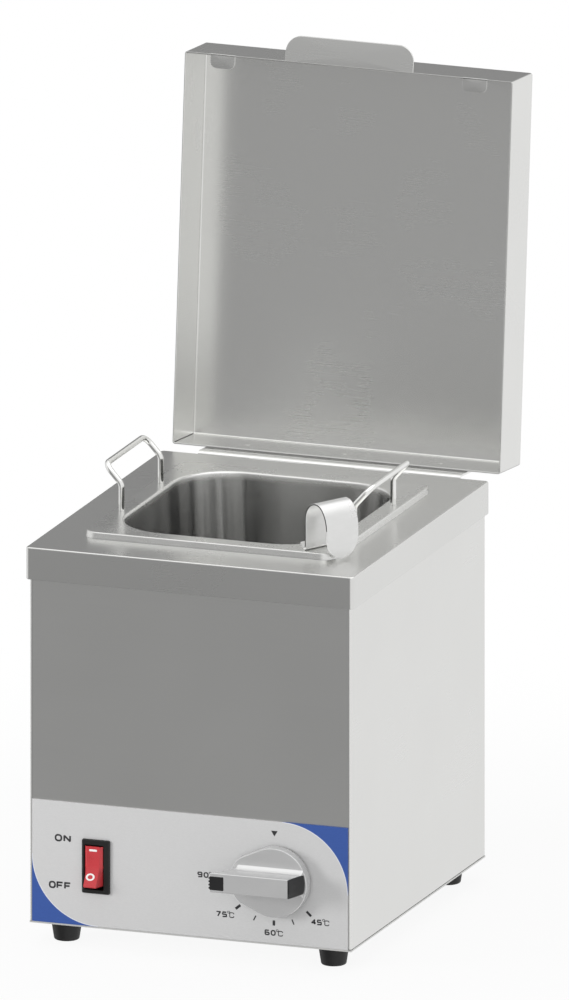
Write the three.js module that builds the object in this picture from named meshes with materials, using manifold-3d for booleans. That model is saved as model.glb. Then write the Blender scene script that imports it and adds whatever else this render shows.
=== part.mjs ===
// Countertop bain marie with one lift-out pan, a ladle hooked over its rim and the lid open.
// Millimetres. X runs to the right, Y to the back and Z up. The front looks towards -Y.

import * as THREE from 'three';
import { mergeVertices } from 'three/addons/utils/BufferGeometryUtils.js';
import Module from 'manifold-3d';

const wasm = await Module();
wasm.setup();

// Cover and casing
const COVER_WIDTH = 210;
const COVER_DEPTH = 240;
const COVER_CORNER = 2.5;
const SKIRT_HEIGHT = 20;
const BODY_HEIGHT = 234;
const CASING_INSET = 2;
const CASING_RETURN = 1.6;
const PANEL_FLANGE = 10;
const SHEET = 1;
const SEAM = 0.3;
const BOND = 0.05;
const OVERRUN = 2;

// Feet and base
const FOOT_HEIGHT = 13;
const FOOT_TOP_RADIUS = 9.5;
const FOOT_TIP_RADIUS = 7.8;
const FOOT_INSET = 17.5;
const FOOT_BORE = 2.3;
const FOOT_RECESS = 4.2;
const FOOT_RECESS_DEPTH = 6;
const FOOT_SCREW_HEAD = 3.6;
const FOOT_SCREW_HEAD_HEIGHT = 2.6;
const FOOT_SCREW_RADIUS = 2;
const FOOT_SCREW_REACH = 5;
const BASE_FLANGE = 12;
const BASE_SCREW_INSET = 6;
const BASE_SCREW_HEAD = 3.2;
const BASE_SCREW_HEAD_HEIGHT = 1.8;
const BASE_SCREW_RADIUS = 1.5;
const BASE_SCREW_REACH = 4;
const VENT_LENGTH = 60;
const VENT_WIDTH = 5;
const VENT_PITCH = 14;
const VENT_COUNT = 5;

// Pan
const PAN_WIDTH = 162;
const PAN_DEPTH = 176;
const PAN_CORNER = 10;
const PAN_RISE = 4;
const PAN_FLANGE = 13;
const PAN_MOUTH_CORNER = 34;
const PAN_HEIGHT = 100;
const PAN_TAPER = 7;
const PAN_FLOOR_RADIUS = 10;
const PAN_WALL = 0.8;

// Wire handles of the pan
const WIRE = 3.6;
const HANDLE_SPAN = 69;
const HANDLE_LEG = 16.6;
const HANDLE_LEAN = 10.3;
const HANDLE_LEAN_RISE = 11.4;
const HANDLE_BEND = 5;

// Well and heating
const WELL_GAP = 4.7;
const WELL_CORNER = 36;
const WELL_HEIGHT = 141;
const WELL_LIP = 8;
const HEATER_WIDTH = 110;
const HEATER_DEPTH = 124;
const HEATER_THICKNESS = 5;
const CLAMP_WIDTH = 20;
const CLAMP_THICKNESS = 3;
const CLAMP_OVERHANG = 12;
const STUD_RADIUS = 2;
const STUD_NUT_RADIUS = 4;
const STUD_NUT_HEIGHT = 3.2;
const STUD_TAIL = 3;
const CUTOUT_RADIUS = 7;
const CUTOUT_HEIGHT = 9;
const CUTOUT_OFFSET = 64;
const BULB_RADIUS = 3;
const BULB_LENGTH = 64;
const BULB_RISE = 9;
const CAPILLARY = 1.6;
const CLIP_WIDTH = 8;
const CLIP_HEIGHT = 14;
const CLIP_WALL = 1;
const BLANKET_AIR = 5;
const BLANKET_RISE = 22;
const BLANKET_DROP = 12;

// Control plate and what it carries
const PLATE_HEIGHT = 76;
const PLATE_THICKNESS = 0.8;
const SWITCH_INSET = 45.1;
const SWITCH_MIDDLE = 38.8;
const BEZEL_WIDTH = 17.8;
const BEZEL_HEIGHT = 33.6;
const BEZEL_THICKNESS = 1.6;
const SWITCH_WIDTH = 15;
const SWITCH_HEIGHT = 31.4;
const SWITCH_DEPTH = 17;
const SWITCH_WALL = 1.2;
const TERMINAL_WIDTH = 4.8;
const TERMINAL_THICKNESS = 0.8;
const TERMINAL_LENGTH = 8;
const TERMINAL_PITCH = 10;
const ROCKER_WIDTH = 11.4;
const ROCKER_RISE = 12.9;
const ROCKER_DROP = 12.4;
const ROCKER_PROUD = 0.8;
const ROCKER_CHEEK = 0.8;
const ROCKER_DEPTH = 7;
const ROCKER_PIVOT = 0.9;
const ROCKER_THROW = 22;
const DIAL_INSET = 50.4;
const DIAL_RISE = 41.8;
const KNOB_RADIUS = 22.2;
const KNOB_GAP = 1;
const KNOB_DISC = 9;
const KNOB_EDGE = 1.2;
const KNOB_HOLLOW = 18.5;
const KNOB_HOLLOW_DEPTH = 4.5;
const KNOB_BOSS = 6;
const GRIP_WIDTH = 12;
const GRIP_RISE = 12.4;
const GRIP_TIP_FRONT = 33.8;
const GRIP_TIP_BACK = 24.5;
const GRIP_TAIL_FRONT = 17.5;
const GRIP_TAIL_BACK = 21.6;
const INLAY_DEPTH = 2;
const TIP_INLAY_LENGTH = 9;
const TIP_INLAY_WIDTH = 8.6;
const SHAFT_RADIUS = 3;
const SHAFT_LENGTH = 24;
const SHAFT_GRIP = 8;
const RUNNING_GAP = 0.3;
const THERMOSTAT_WIDTH = 36;
const THERMOSTAT_HEIGHT = 40;
const THERMOSTAT_DEPTH = 28;
const NECK_RADIUS = 5;
const NECK_LENGTH = 1.6;
const THERMOSTAT_SCREW_PITCH = 28;
const THERMOSTAT_SCREW_HEAD = 3;
const THERMOSTAT_SCREW_HEAD_HEIGHT = 1.8;
const THERMOSTAT_SCREW_RADIUS = 1.5;
const THERMOSTAT_SCREW_REACH = 6;

// Rear entry and wiring points
const GLAND_INSET = 35;
const GLAND_RISE = 27;
const GLAND_NUT_RADIUS = 11;
const GLAND_NUT_LENGTH = 5;
const GLAND_DOME_RADIUS = 8.5;
const GLAND_DOME_LENGTH = 14;
const GLAND_THREAD_RADIUS = 7;
const GLAND_THREAD_LENGTH = 10;
const GLAND_BORE = 3.6;
const LOCKNUT_RADIUS = 10;
const LOCKNUT_LENGTH = 4;
const BLOCK_LENGTH = 48;
const BLOCK_WIDTH = 20;
const BLOCK_HEIGHT = 16;
const BLOCK_BORE = 2.4;
const BLOCK_POLES = 3;
const BLOCK_SETBACK = 34;
const EARTH_SETBACK = 30;
const EARTH_LENGTH = 14;

// Ladle
const STRAP = 1.2;
const TONGUE_WIDTH = 24.8;
const TONGUE_CLEARANCE = 4.6;
const TONGUE_LIFT = 1.5;
const TONGUE_SHIFT = 2.2;
const HOOK_RADIUS = 10;
const HOOK_RISE = 34.4;
const STEM_WIDTH = 6;
const STEM_NARROW_TOP = 24;
const STEM_MOUTH = 35.8;
const STEM_FOOT = 56;
const STEM_END = 22;
const LADLE_TURN = 150;
const CUP_RADIUS = 18;
const CUP_HEIGHT = 24;
const CUP_FLOOR_RADIUS = 9;
const CUP_WALL = 1;
const CUP_RIVET_RADIUS = 1.2;
const CUP_RIVET_HEAD = 2.5;
const CUP_RIVET_HEAD_HEIGHT = 0.9;
const CUP_RIVET_PITCH = 8;
const CUP_RIVET_DROP = 7;

// Lid
const LID_DEPTH = 36;
const LID_GAP = 0.5;
const LID_CORNER = 1.5;
const LID_OPEN = 95.3;
const PULL_WIDTH = 82;
const PULL_LENGTH = 16;
const PULL_CORNER = 10;
const REST_WIDTH = 15.8;
const REST_LENGTH = 8.1;
const REST_CORNER = 4;
const REST_INSET = 24.3;

// Hinge
const HINGE_LENGTH = 168;
const HINGE_KNUCKLES = 5;
const KNUCKLE_GAP = 0.5;
const HINGE_SHEET = 1.2;
const HINGE_BACK = 8.8;
const HINGE_DROP = 8.6;
const PIN_RADIUS = 2.5;
const PIN_GAP = 0.25;
const PIN_END = 2;
const LEAF_STANDOFF = 0.4;
const LEAF_BEND = 2.4;
const LID_LEAF_RISE = 24;
const CASING_LEAF_HEIGHT = 30;
const CASING_LEAF_GAP = 2.5;
const CASING_CURL_END = 250;
const LID_CURL_END = 160;
const HINGE_FASTENERS = 3;
const HINGE_FASTENER_PITCH = 62;
const RIVET_RADIUS = 1.6;
const RIVET_HEAD = 3.2;
const RIVET_HEAD_HEIGHT = 1.2;
const HOLE_GAP = 0.3;
const LID_RIVET_RISE = 14;

// Smoothness of round work
const KNOB_SIDES = 48;
const ROUND_SIDES = 24;
const SMALL_SIDES = 12;
const WIRE_SIDES = 10;
const WIRE_STEPS = 36;
const CAPILLARY_STEPS = 24;
const CORNER_STEPS = 8;
const BEND_STEPS = 3;
const CURL_STEPS = 14;

// Sizes that follow from the ones above
const COVER_TOP = FOOT_HEIGHT + BODY_HEIGHT;
const CASING_X = COVER_WIDTH / 2 - CASING_INSET;
const CASING_Y = COVER_DEPTH / 2 - CASING_INSET;
const BASE_TOP = FOOT_HEIGHT + SHEET;
const CASING_LOW = BASE_TOP + SEAM;
const CASING_HIGH = COVER_TOP - SHEET - SEAM;
const FLANGE_TOP = COVER_TOP + PAN_RISE;
const MOUTH_WIDTH = PAN_WIDTH - 2 * PAN_FLANGE;
const MOUTH_DEPTH = PAN_DEPTH - 2 * PAN_FLANGE;
const PAN_FLOOR = FLANGE_TOP - PAN_HEIGHT;
const WELL_WIDTH = MOUTH_WIDTH + 2 * (PAN_WALL + WELL_GAP);
const WELL_DEPTH = MOUTH_DEPTH + 2 * (PAN_WALL + WELL_GAP);
const WELL_FLOOR = COVER_TOP - WELL_HEIGHT;
const PANEL_X = CASING_X - CASING_RETURN - SEAM;
const PLATE_BACK = -CASING_Y - BOND;
const PLATE_FRONT = PLATE_BACK - PLATE_THICKNESS;
const SWITCH_X = SWITCH_INSET - COVER_WIDTH / 2;
const SWITCH_RISE = FOOT_HEIGHT + SWITCH_MIDDLE;
const DIAL_X = COVER_WIDTH / 2 - DIAL_INSET;
const DIAL_Z = FOOT_HEIGHT + DIAL_RISE;
const KNOB_BACK = PLATE_FRONT - KNOB_GAP;
const KNOB_FRONT = KNOB_BACK - KNOB_DISC;
const GRIP_FRONT = KNOB_FRONT - GRIP_RISE;
const GLAND_X = GLAND_INSET - COVER_WIDTH / 2;
const HINGE_Y = COVER_DEPTH / 2 + HINGE_BACK;
const HINGE_Z = COVER_TOP - HINGE_DROP;
const KNUCKLE_RADIUS = PIN_RADIUS + PIN_GAP + HINGE_SHEET / 2;
const LID_RIM = COVER_TOP + LID_GAP;
const LEAN = THREE.MathUtils.degToRad(LID_OPEN);

const finishes = {
  brushed: new THREE.MeshStandardMaterial({ color: 0xa9a9a6, metalness: 1, roughness: 0.36 }),
  bright: new THREE.MeshStandardMaterial({ color: 0xd2d2d0, metalness: 1, roughness: 0.16 }),
  plate: new THREE.MeshStandardMaterial({ color: 0xc8c8c8, metalness: 0, roughness: 0.45 }),
  silver: new THREE.MeshStandardMaterial({ color: 0xb4b4b4, metalness: 0.3, roughness: 0.4 }),
  black: new THREE.MeshStandardMaterial({ color: 0x2b2b2b, metalness: 0, roughness: 0.5 }),
  red: new THREE.MeshStandardMaterial({ color: 0xc9434a, metalness: 0, roughness: 0.35 }),
  rubber: new THREE.MeshStandardMaterial({ color: 0x262626, metalness: 0, roughness: 0.85 }),
  zinc: new THREE.MeshStandardMaterial({ color: 0xb9b7b0, metalness: 1, roughness: 0.4 }),
  blanket: new THREE.MeshStandardMaterial({ color: 0xe4e0d4, metalness: 0, roughness: 0.95 }),
};

const X_UP = new THREE.Matrix4().makeBasis(
  new THREE.Vector3(0, 1, 0), new THREE.Vector3(0, 0, 1), new THREE.Vector3(1, 0, 0));

// A closed solid from a geometry whose seams are welded.
function solid(geometry) {
  const bare = geometry.clone();
  bare.deleteAttribute('normal');
  bare.deleteAttribute('uv');
  const welded = mergeVertices(bare);
  const mesh = new wasm.Mesh({
    numProp: 3,
    vertProperties: welded.attributes.position.array,
    triVerts: new Uint32Array(welded.index.array),
  });
  return new wasm.Manifold(mesh);
}

// A block between low and high limits on each axis.
function block([x0, x1], [y0, y1], [z0, z1]) {
  const geometry = new THREE.BoxGeometry(x1 - x0, y1 - y0, z1 - z0);
  geometry.translate((x0 + x1) / 2, (y0 + y1) / 2, (z0 + z1) / 2);
  return solid(geometry);
}

// A rectangle about the origin with round corners.
function roundedRectangle(width, depth, radius) {
  const x = width / 2;
  const y = depth / 2;
  const quarter = Math.PI / 2;
  const shape = new THREE.Shape();
  shape.moveTo(x - radius, -y);
  shape.absarc(x - radius, radius - y, radius, -quarter, 0, false);
  shape.absarc(x - radius, y - radius, radius, 0, quarter, false);
  shape.absarc(radius - x, y - radius, radius, quarter, 2 * quarter, false);
  shape.absarc(radius - x, radius - y, radius, 2 * quarter, 3 * quarter, false);
  shape.closePath();
  return shape;
}

// A shape in the XY plane raised from low to high along Z, its middle at a place in the plan.
function upright(shape, low, high, x = 0, y = 0) {
  const geometry = new THREE.ExtrudeGeometry(shape, {
    depth: high - low, bevelEnabled: false, curveSegments: CORNER_STEPS / 2 });
  geometry.translate(x, y, low);
  return solid(geometry);
}

// A shape in the YZ plane drawn out from low to high along X.
function across(shape, low, high) {
  const geometry = new THREE.ExtrudeGeometry(shape, {
    depth: high - low, bevelEnabled: false, curveSegments: CORNER_STEPS / 2 });
  geometry.translate(0, 0, low);
  geometry.applyMatrix4(X_UP);
  return solid(geometry);
}

// A body of revolution about Z, its outline given from the lower end of the axis to the upper.
function turned(outline, sides = ROUND_SIDES) {
  const points = outline.map(([radius, height]) => new THREE.Vector2(radius, height));
  const geometry = new THREE.LatheGeometry(points, sides);
  geometry.rotateX(Math.PI / 2);
  return geometry;
}

// A plain round bar along Z.
function roundBar(radius, low, high, sides = SMALL_SIDES) {
  return turned([[0, low], [radius, low], [radius, high], [0, high]], sides);
}

// The same bar laid along Y, reaching from its front end to its back end.
function frontBar(radius, front, back, x, z, sides = SMALL_SIDES) {
  const geometry = roundBar(radius, front, back, sides);
  geometry.rotateX(-Math.PI / 2);
  geometry.translate(x, 0, z);
  return solid(geometry);
}

// The same bar stood along Z at a place in the plan.
function postBar(radius, low, high, x, y, sides = SMALL_SIDES) {
  const geometry = roundBar(radius, low, high, sides);
  geometry.translate(x, y, 0);
  return solid(geometry);
}

// The outline of a bent strip: a line of points offset half the thickness to each side.
function bentStrip(points, thickness) {
  const left = [];
  const right = [];
  points.forEach((point, index) => {
    const before = points[Math.max(index - 1, 0)];
    const after = points[Math.min(index + 1, points.length - 1)];
    const towards = after.clone().sub(point).normalize();
    const from = point.clone().sub(before).normalize();
    const along = towards.add(from).normalize();
    const run = index > 0 ? point.clone().sub(before).normalize() : along;
    const stretch = Math.max(along.dot(run), Math.SQRT1_2);
    const offset = new THREE.Vector2(-along.y, along.x).multiplyScalar(thickness / 2 / stretch);
    left.push(point.clone().add(offset));
    right.push(point.clone().sub(offset));
  });
  return new THREE.Shape([...left, ...right.reverse()]);
}

// Points on an arc in the plane, from one angle in degrees to another.
function arcPoints(x, y, radius, from, to, steps) {
  const points = [];
  for (let step = 0; step <= steps; step += 1) {
    const angle = THREE.MathUtils.degToRad(from + (to - from) * step / steps);
    points.push(new THREE.Vector2(x + radius * Math.cos(angle), y + radius * Math.sin(angle)));
  }
  return points;
}

// A named piece of the model.
function addPart(parent, name, shape, finish) {
  const made = shape.getMesh();
  const geometry = new THREE.BufferGeometry();
  geometry.setAttribute('position', new THREE.BufferAttribute(made.vertProperties, 3));
  geometry.setIndex(new THREE.BufferAttribute(made.triVerts, 1));
  geometry.computeVertexNormals();
  const part = new THREE.Mesh(geometry, finish);
  part.name = name;
  parent.add(part);
  return part;
}

const model = new THREE.Group();
const body = new THREE.Group();
model.add(body);

// Top cover: a shallow cap with a rounded opening for the pan.
function makeTopCover() {
  const outside = upright(roundedRectangle(COVER_WIDTH, COVER_DEPTH, COVER_CORNER),
    COVER_TOP - SKIRT_HEIGHT, COVER_TOP);
  const hollow = upright(
    roundedRectangle(COVER_WIDTH - 2 * SHEET, COVER_DEPTH - 2 * SHEET, COVER_CORNER - SHEET),
    COVER_TOP - SKIRT_HEIGHT - OVERRUN, COVER_TOP - SHEET);
  const opening = upright(roundedRectangle(WELL_WIDTH, WELL_DEPTH, WELL_CORNER),
    COVER_TOP - SKIRT_HEIGHT, COVER_TOP + OVERRUN);
  addPart(body, 'top_cover', outside.subtract(hollow).subtract(opening), finishes.brushed);
}

// Places of the screws that hold the casing to the base.
function baseScrewPlaces() {
  const x = CASING_X - SHEET - BASE_SCREW_INSET;
  const y = CASING_Y / 2;
  return [[-x, -y], [x, -y], [-x, y], [x, y]];
}

// Places of the feet.
function footPlaces() {
  const x = CASING_X - FOOT_INSET;
  const y = CASING_Y - FOOT_INSET;
  return [['front_left', -x, -y], ['front_right', x, -y], ['back_left', -x, y], ['back_right', x, y]];
}

// Across places of the hinge's rivets and screws.
function hingeFastenerPlaces() {
  return Array.from({ length: HINGE_FASTENERS },
    (_, index) => (index - (HINGE_FASTENERS - 1) / 2) * HINGE_FASTENER_PITCH);
}

// Casing: one sheet wrapped round the sides and back, with narrow returns at the front.
function makeCasing() {
  const inner = CASING_X - SHEET;
  const outline = new THREE.Shape();
  outline.moveTo(-CASING_X + CASING_RETURN, -CASING_Y);
  outline.lineTo(-CASING_X, -CASING_Y);
  outline.lineTo(-CASING_X, CASING_Y);
  outline.lineTo(CASING_X, CASING_Y);
  outline.lineTo(CASING_X, -CASING_Y);
  outline.lineTo(CASING_X - CASING_RETURN, -CASING_Y);
  outline.lineTo(CASING_X - CASING_RETURN, -CASING_Y + SHEET);
  outline.lineTo(inner, -CASING_Y + SHEET);
  outline.lineTo(inner, CASING_Y - SHEET);
  outline.lineTo(-inner, CASING_Y - SHEET);
  outline.lineTo(-inner, -CASING_Y + SHEET);
  outline.lineTo(-CASING_X + CASING_RETURN, -CASING_Y + SHEET);
  let casing = upright(outline, CASING_LOW, CASING_HIGH);
  for (const side of [-1, 1]) {
    const edges = [side * (inner - BASE_FLANGE), side * (inner + SHEET / 2)].sort((a, b) => a - b);
    casing = casing.add(block(edges, [-CASING_Y / 2 - BASE_FLANGE, CASING_Y / 2 + BASE_FLANGE],
      [CASING_LOW, CASING_LOW + SHEET]));
  }
  for (const [x, y] of baseScrewPlaces()) {
    const hole = postBar(BASE_SCREW_RADIUS + HOLE_GAP, CASING_LOW - OVERRUN,
      CASING_LOW + SHEET + OVERRUN, x, y);
    casing = casing.subtract(hole);
  }
  for (const x of hingeFastenerPlaces()) {
    casing = casing.subtract(frontBar(RIVET_RADIUS + HOLE_GAP, CASING_Y - SHEET - OVERRUN,
      CASING_Y + OVERRUN, x, casingScrewHeight()));
  }
  casing = casing.subtract(frontBar(GLAND_THREAD_RADIUS + HOLE_GAP, CASING_Y - SHEET - OVERRUN,
    CASING_Y + OVERRUN, GLAND_X, FOOT_HEIGHT + GLAND_RISE, ROUND_SIDES));
  addPart(body, 'casing', casing, finishes.brushed);
}

// Cut-outs that the front panel and the control plate share.
function controlHoles() {
  const reach = [-CASING_Y - OVERRUN, -CASING_Y + OVERRUN];
  const slot = block(
    [SWITCH_X - SWITCH_WIDTH / 2 - HOLE_GAP, SWITCH_X + SWITCH_WIDTH / 2 + HOLE_GAP], reach,
    [SWITCH_RISE - SWITCH_HEIGHT / 2 - HOLE_GAP, SWITCH_RISE + SWITCH_HEIGHT / 2 + HOLE_GAP]);
  let holes = slot.add(frontBar(NECK_RADIUS + HOLE_GAP, reach[0], reach[1], DIAL_X, DIAL_Z,
    ROUND_SIDES));
  for (const side of [-1, 1]) {
    holes = holes.add(frontBar(THERMOSTAT_SCREW_RADIUS + HOLE_GAP, reach[0], reach[1],
      DIAL_X + side * THERMOSTAT_SCREW_PITCH / 2, DIAL_Z));
  }
  return holes;
}

// Front panel: a flat sheet with its side edges folded back.
function makeFrontPanel() {
  const outline = new THREE.Shape();
  const fold = -CASING_Y + PANEL_FLANGE;
  outline.moveTo(-PANEL_X, -CASING_Y);
  outline.lineTo(PANEL_X, -CASING_Y);
  outline.lineTo(PANEL_X, fold);
  outline.lineTo(PANEL_X - SHEET, fold);
  outline.lineTo(PANEL_X - SHEET, -CASING_Y + SHEET);
  outline.lineTo(SHEET - PANEL_X, -CASING_Y + SHEET);
  outline.lineTo(SHEET - PANEL_X, fold);
  outline.lineTo(-PANEL_X, fold);
  const panel = upright(outline, CASING_LOW, CASING_HIGH).subtract(controlHoles());
  addPart(body, 'front_panel', panel, finishes.brushed);
}

// Control plate: the thin printed sheet across the foot of the front panel.
function makeControlPlate() {
  const plate = block([-PANEL_X, PANEL_X], [PLATE_FRONT, PLATE_BACK],
    [CASING_LOW, CASING_LOW + PLATE_HEIGHT]);
  addPart(body, 'control_plate', plate.subtract(controlHoles()), finishes.plate);
}

// Base plate with vent slots and the holes of the feet and screws.
function makeBasePlate() {
  let plate = block([-CASING_X, CASING_X], [-CASING_Y, CASING_Y], [FOOT_HEIGHT, BASE_TOP]);
  const cut = [FOOT_HEIGHT - OVERRUN, BASE_TOP + OVERRUN];
  for (let index = 0; index < VENT_COUNT; index += 1) {
    const y = (index - (VENT_COUNT - 1) / 2) * VENT_PITCH;
    plate = plate.subtract(block([-VENT_LENGTH / 2, VENT_LENGTH / 2],
      [y - VENT_WIDTH / 2, y + VENT_WIDTH / 2], cut));
  }
  for (const [, x, y] of footPlaces()) {
    plate = plate.subtract(postBar(FOOT_SCREW_RADIUS + HOLE_GAP, cut[0], cut[1], x, y));
  }
  for (const [x, y] of baseScrewPlaces()) {
    plate = plate.subtract(postBar(BASE_SCREW_RADIUS + HOLE_GAP, cut[0], cut[1], x, y));
  }
  const earth = postBar(STUD_RADIUS + HOLE_GAP, cut[0], cut[1], 0, CASING_Y - EARTH_SETBACK);
  addPart(body, 'base_plate', plate.subtract(earth), finishes.brushed);
}

// Feet of tapered rubber with a screw up through each.
function makeFeet() {
  const foot = solid(turned([
    [FOOT_BORE, FOOT_RECESS_DEPTH], [FOOT_RECESS, FOOT_RECESS_DEPTH], [FOOT_RECESS, 0],
    [FOOT_TIP_RADIUS, 0], [FOOT_TOP_RADIUS, FOOT_HEIGHT - BOND], [FOOT_BORE, FOOT_HEIGHT - BOND],
    [FOOT_BORE, FOOT_RECESS_DEPTH],
  ], ROUND_SIDES));
  const headTop = FOOT_RECESS_DEPTH - BOND;
  const headLow = headTop - FOOT_SCREW_HEAD_HEIGHT;
  const screw = solid(turned([
    [0, headLow], [FOOT_SCREW_HEAD, headLow], [FOOT_SCREW_HEAD, headTop],
    [FOOT_SCREW_RADIUS, headTop], [FOOT_SCREW_RADIUS, BASE_TOP + FOOT_SCREW_REACH],
    [0, BASE_TOP + FOOT_SCREW_REACH],
  ], SMALL_SIDES));
  for (const [place, x, y] of footPlaces()) {
    addPart(body, `foot_${place}`, foot, finishes.rubber).position.set(x, y, 0);
    addPart(body, `foot_screw_${place}`, screw, finishes.zinc).position.set(x, y, 0);
  }
}

// Screws that hold the casing's bottom flanges to the base plate.
function makeBaseScrews() {
  const headTop = FOOT_HEIGHT - BOND;
  const headLow = headTop - BASE_SCREW_HEAD_HEIGHT;
  const tip = CASING_LOW + SHEET + BASE_SCREW_REACH;
  const screw = solid(turned([
    [0, headLow], [BASE_SCREW_HEAD, headLow], [BASE_SCREW_HEAD, headTop],
    [BASE_SCREW_RADIUS, headTop], [BASE_SCREW_RADIUS, tip], [0, tip],
  ], SMALL_SIDES));
  baseScrewPlaces().forEach(([x, y], index) => {
    addPart(body, `base_screw_${index + 1}`, screw, finishes.zinc).position.set(x, y, 0);
  });
}

// A tapered, round-cornered cup shape that narrows evenly from its mouth to its floor.
function taperedCup(width, depth, corner, mouth, floor, floorRadius, taper) {
  const shape = roundedRectangle(width - 2 * floorRadius, depth - 2 * floorRadius,
    corner - floorRadius);
  const geometry = new THREE.ExtrudeGeometry(shape, {
    depth: mouth - floor + OVERRUN, bevelEnabled: true, bevelThickness: floorRadius,
    bevelSize: floorRadius, bevelSegments: BEND_STEPS, curveSegments: CORNER_STEPS / 2 });
  geometry.translate(0, 0, floor + floorRadius);
  const position = geometry.attributes.position;
  for (let index = 0; index < position.count; index += 1) {
    const drop = (mouth - position.getZ(index)) / (mouth - floor) * taper;
    position.setX(index, position.getX(index) * (1 - 2 * drop / width));
    position.setY(index, position.getY(index) * (1 - 2 * drop / depth));
  }
  return solid(geometry);
}

// Lift-out pan: tapered well, flat flange and a turned-down edge that stands on the cover.
function makePan() {
  const seat = COVER_TOP + BOND;
  const flange = upright(roundedRectangle(PAN_WIDTH, PAN_DEPTH, PAN_CORNER), seat, FLANGE_TOP);
  const under = upright(
    roundedRectangle(PAN_WIDTH - 2 * PAN_WALL, PAN_DEPTH - 2 * PAN_WALL, PAN_CORNER - PAN_WALL),
    seat - OVERRUN, FLANGE_TOP - PAN_WALL);
  const wall = taperedCup(MOUTH_WIDTH + 2 * PAN_WALL, MOUTH_DEPTH + 2 * PAN_WALL,
    PAN_MOUTH_CORNER + PAN_WALL, FLANGE_TOP, PAN_FLOOR, PAN_FLOOR_RADIUS + PAN_WALL, PAN_TAPER);
  const hollow = taperedCup(MOUTH_WIDTH, MOUTH_DEPTH, PAN_MOUTH_CORNER, FLANGE_TOP,
    PAN_FLOOR + PAN_WALL, PAN_FLOOR_RADIUS, PAN_TAPER);
  const above = block([-COVER_WIDTH, COVER_WIDTH], [-COVER_DEPTH, COVER_DEPTH],
    [FLANGE_TOP, FLANGE_TOP + PAN_HEIGHT]);
  const pan = flange.subtract(under).add(wall.subtract(above)).subtract(hollow);
  addPart(body, 'pan', pan, finishes.bright);
}

// A line through corner points with each inner corner rounded to the given radius.
function roundedRoute(corners, radius) {
  const path = new THREE.CurvePath();
  let start = corners[0];
  for (let index = 1; index < corners.length - 1; index += 1) {
    const corner = corners[index];
    const back = corners[index - 1].clone().sub(corner).normalize().multiplyScalar(radius);
    const ahead = corners[index + 1].clone().sub(corner).normalize().multiplyScalar(radius);
    const enter = corner.clone().add(back);
    const leave = corner.clone().add(ahead);
    path.add(new THREE.LineCurve3(start, enter));
    path.add(new THREE.QuadraticBezierCurve3(enter, corner, leave));
    start = leave;
  }
  path.add(new THREE.LineCurve3(start, corners[corners.length - 1]));
  return path;
}

// A round section for wires and tubes.
function roundSection(radius) {
  const section = new THREE.Shape();
  section.absarc(0, 0, radius, 0, 2 * Math.PI, false);
  return section;
}

// A wire of round section drawn along a path.
function wire(path, radius, steps) {
  return solid(new THREE.ExtrudeGeometry(roundSection(radius), {
    extrudePath: path, steps, bevelEnabled: false, curveSegments: WIRE_SIDES / 2 }));
}

// Wire handles, one on each side flange of the pan, leaning outwards at the top.
function makePanHandles() {
  const base = FLANGE_TOP + BOND;
  const x = (PAN_WIDTH - PAN_FLANGE) / 2;
  const y = HANDLE_SPAN / 2;
  for (const [side, sign] of [['left', -1], ['right', 1]]) {
    const out = sign * (x + HANDLE_LEAN);
    const top = base + HANDLE_LEG + HANDLE_LEAN_RISE;
    const route = [
      new THREE.Vector3(sign * x, -y, base), new THREE.Vector3(sign * x, -y, base + HANDLE_LEG),
      new THREE.Vector3(out, -y, top), new THREE.Vector3(out, y, top),
      new THREE.Vector3(sign * x, y, base + HANDLE_LEG), new THREE.Vector3(sign * x, y, base),
    ];
    addPart(body, `pan_handle_${side}`,
      wire(roundedRoute(route, HANDLE_BEND), WIRE / 2, WIRE_STEPS), finishes.bright);
  }
}

// Water well: a deep round-cornered tank hung under the cover by a flat lip.
function makeWaterWell() {
  const top = COVER_TOP - SHEET - BOND;
  const outside = upright(
    roundedRectangle(WELL_WIDTH + 2 * SHEET, WELL_DEPTH + 2 * SHEET, WELL_CORNER + SHEET),
    WELL_FLOOR - SHEET, top);
  const lip = upright(
    roundedRectangle(WELL_WIDTH + 2 * WELL_LIP, WELL_DEPTH + 2 * WELL_LIP, WELL_CORNER + WELL_LIP),
    top - SHEET, top);
  const hollow = upright(roundedRectangle(WELL_WIDTH, WELL_DEPTH, WELL_CORNER), WELL_FLOOR,
    top + OVERRUN);
  addPart(body, 'water_well', outside.add(lip).subtract(hollow), finishes.brushed);
}

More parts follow.
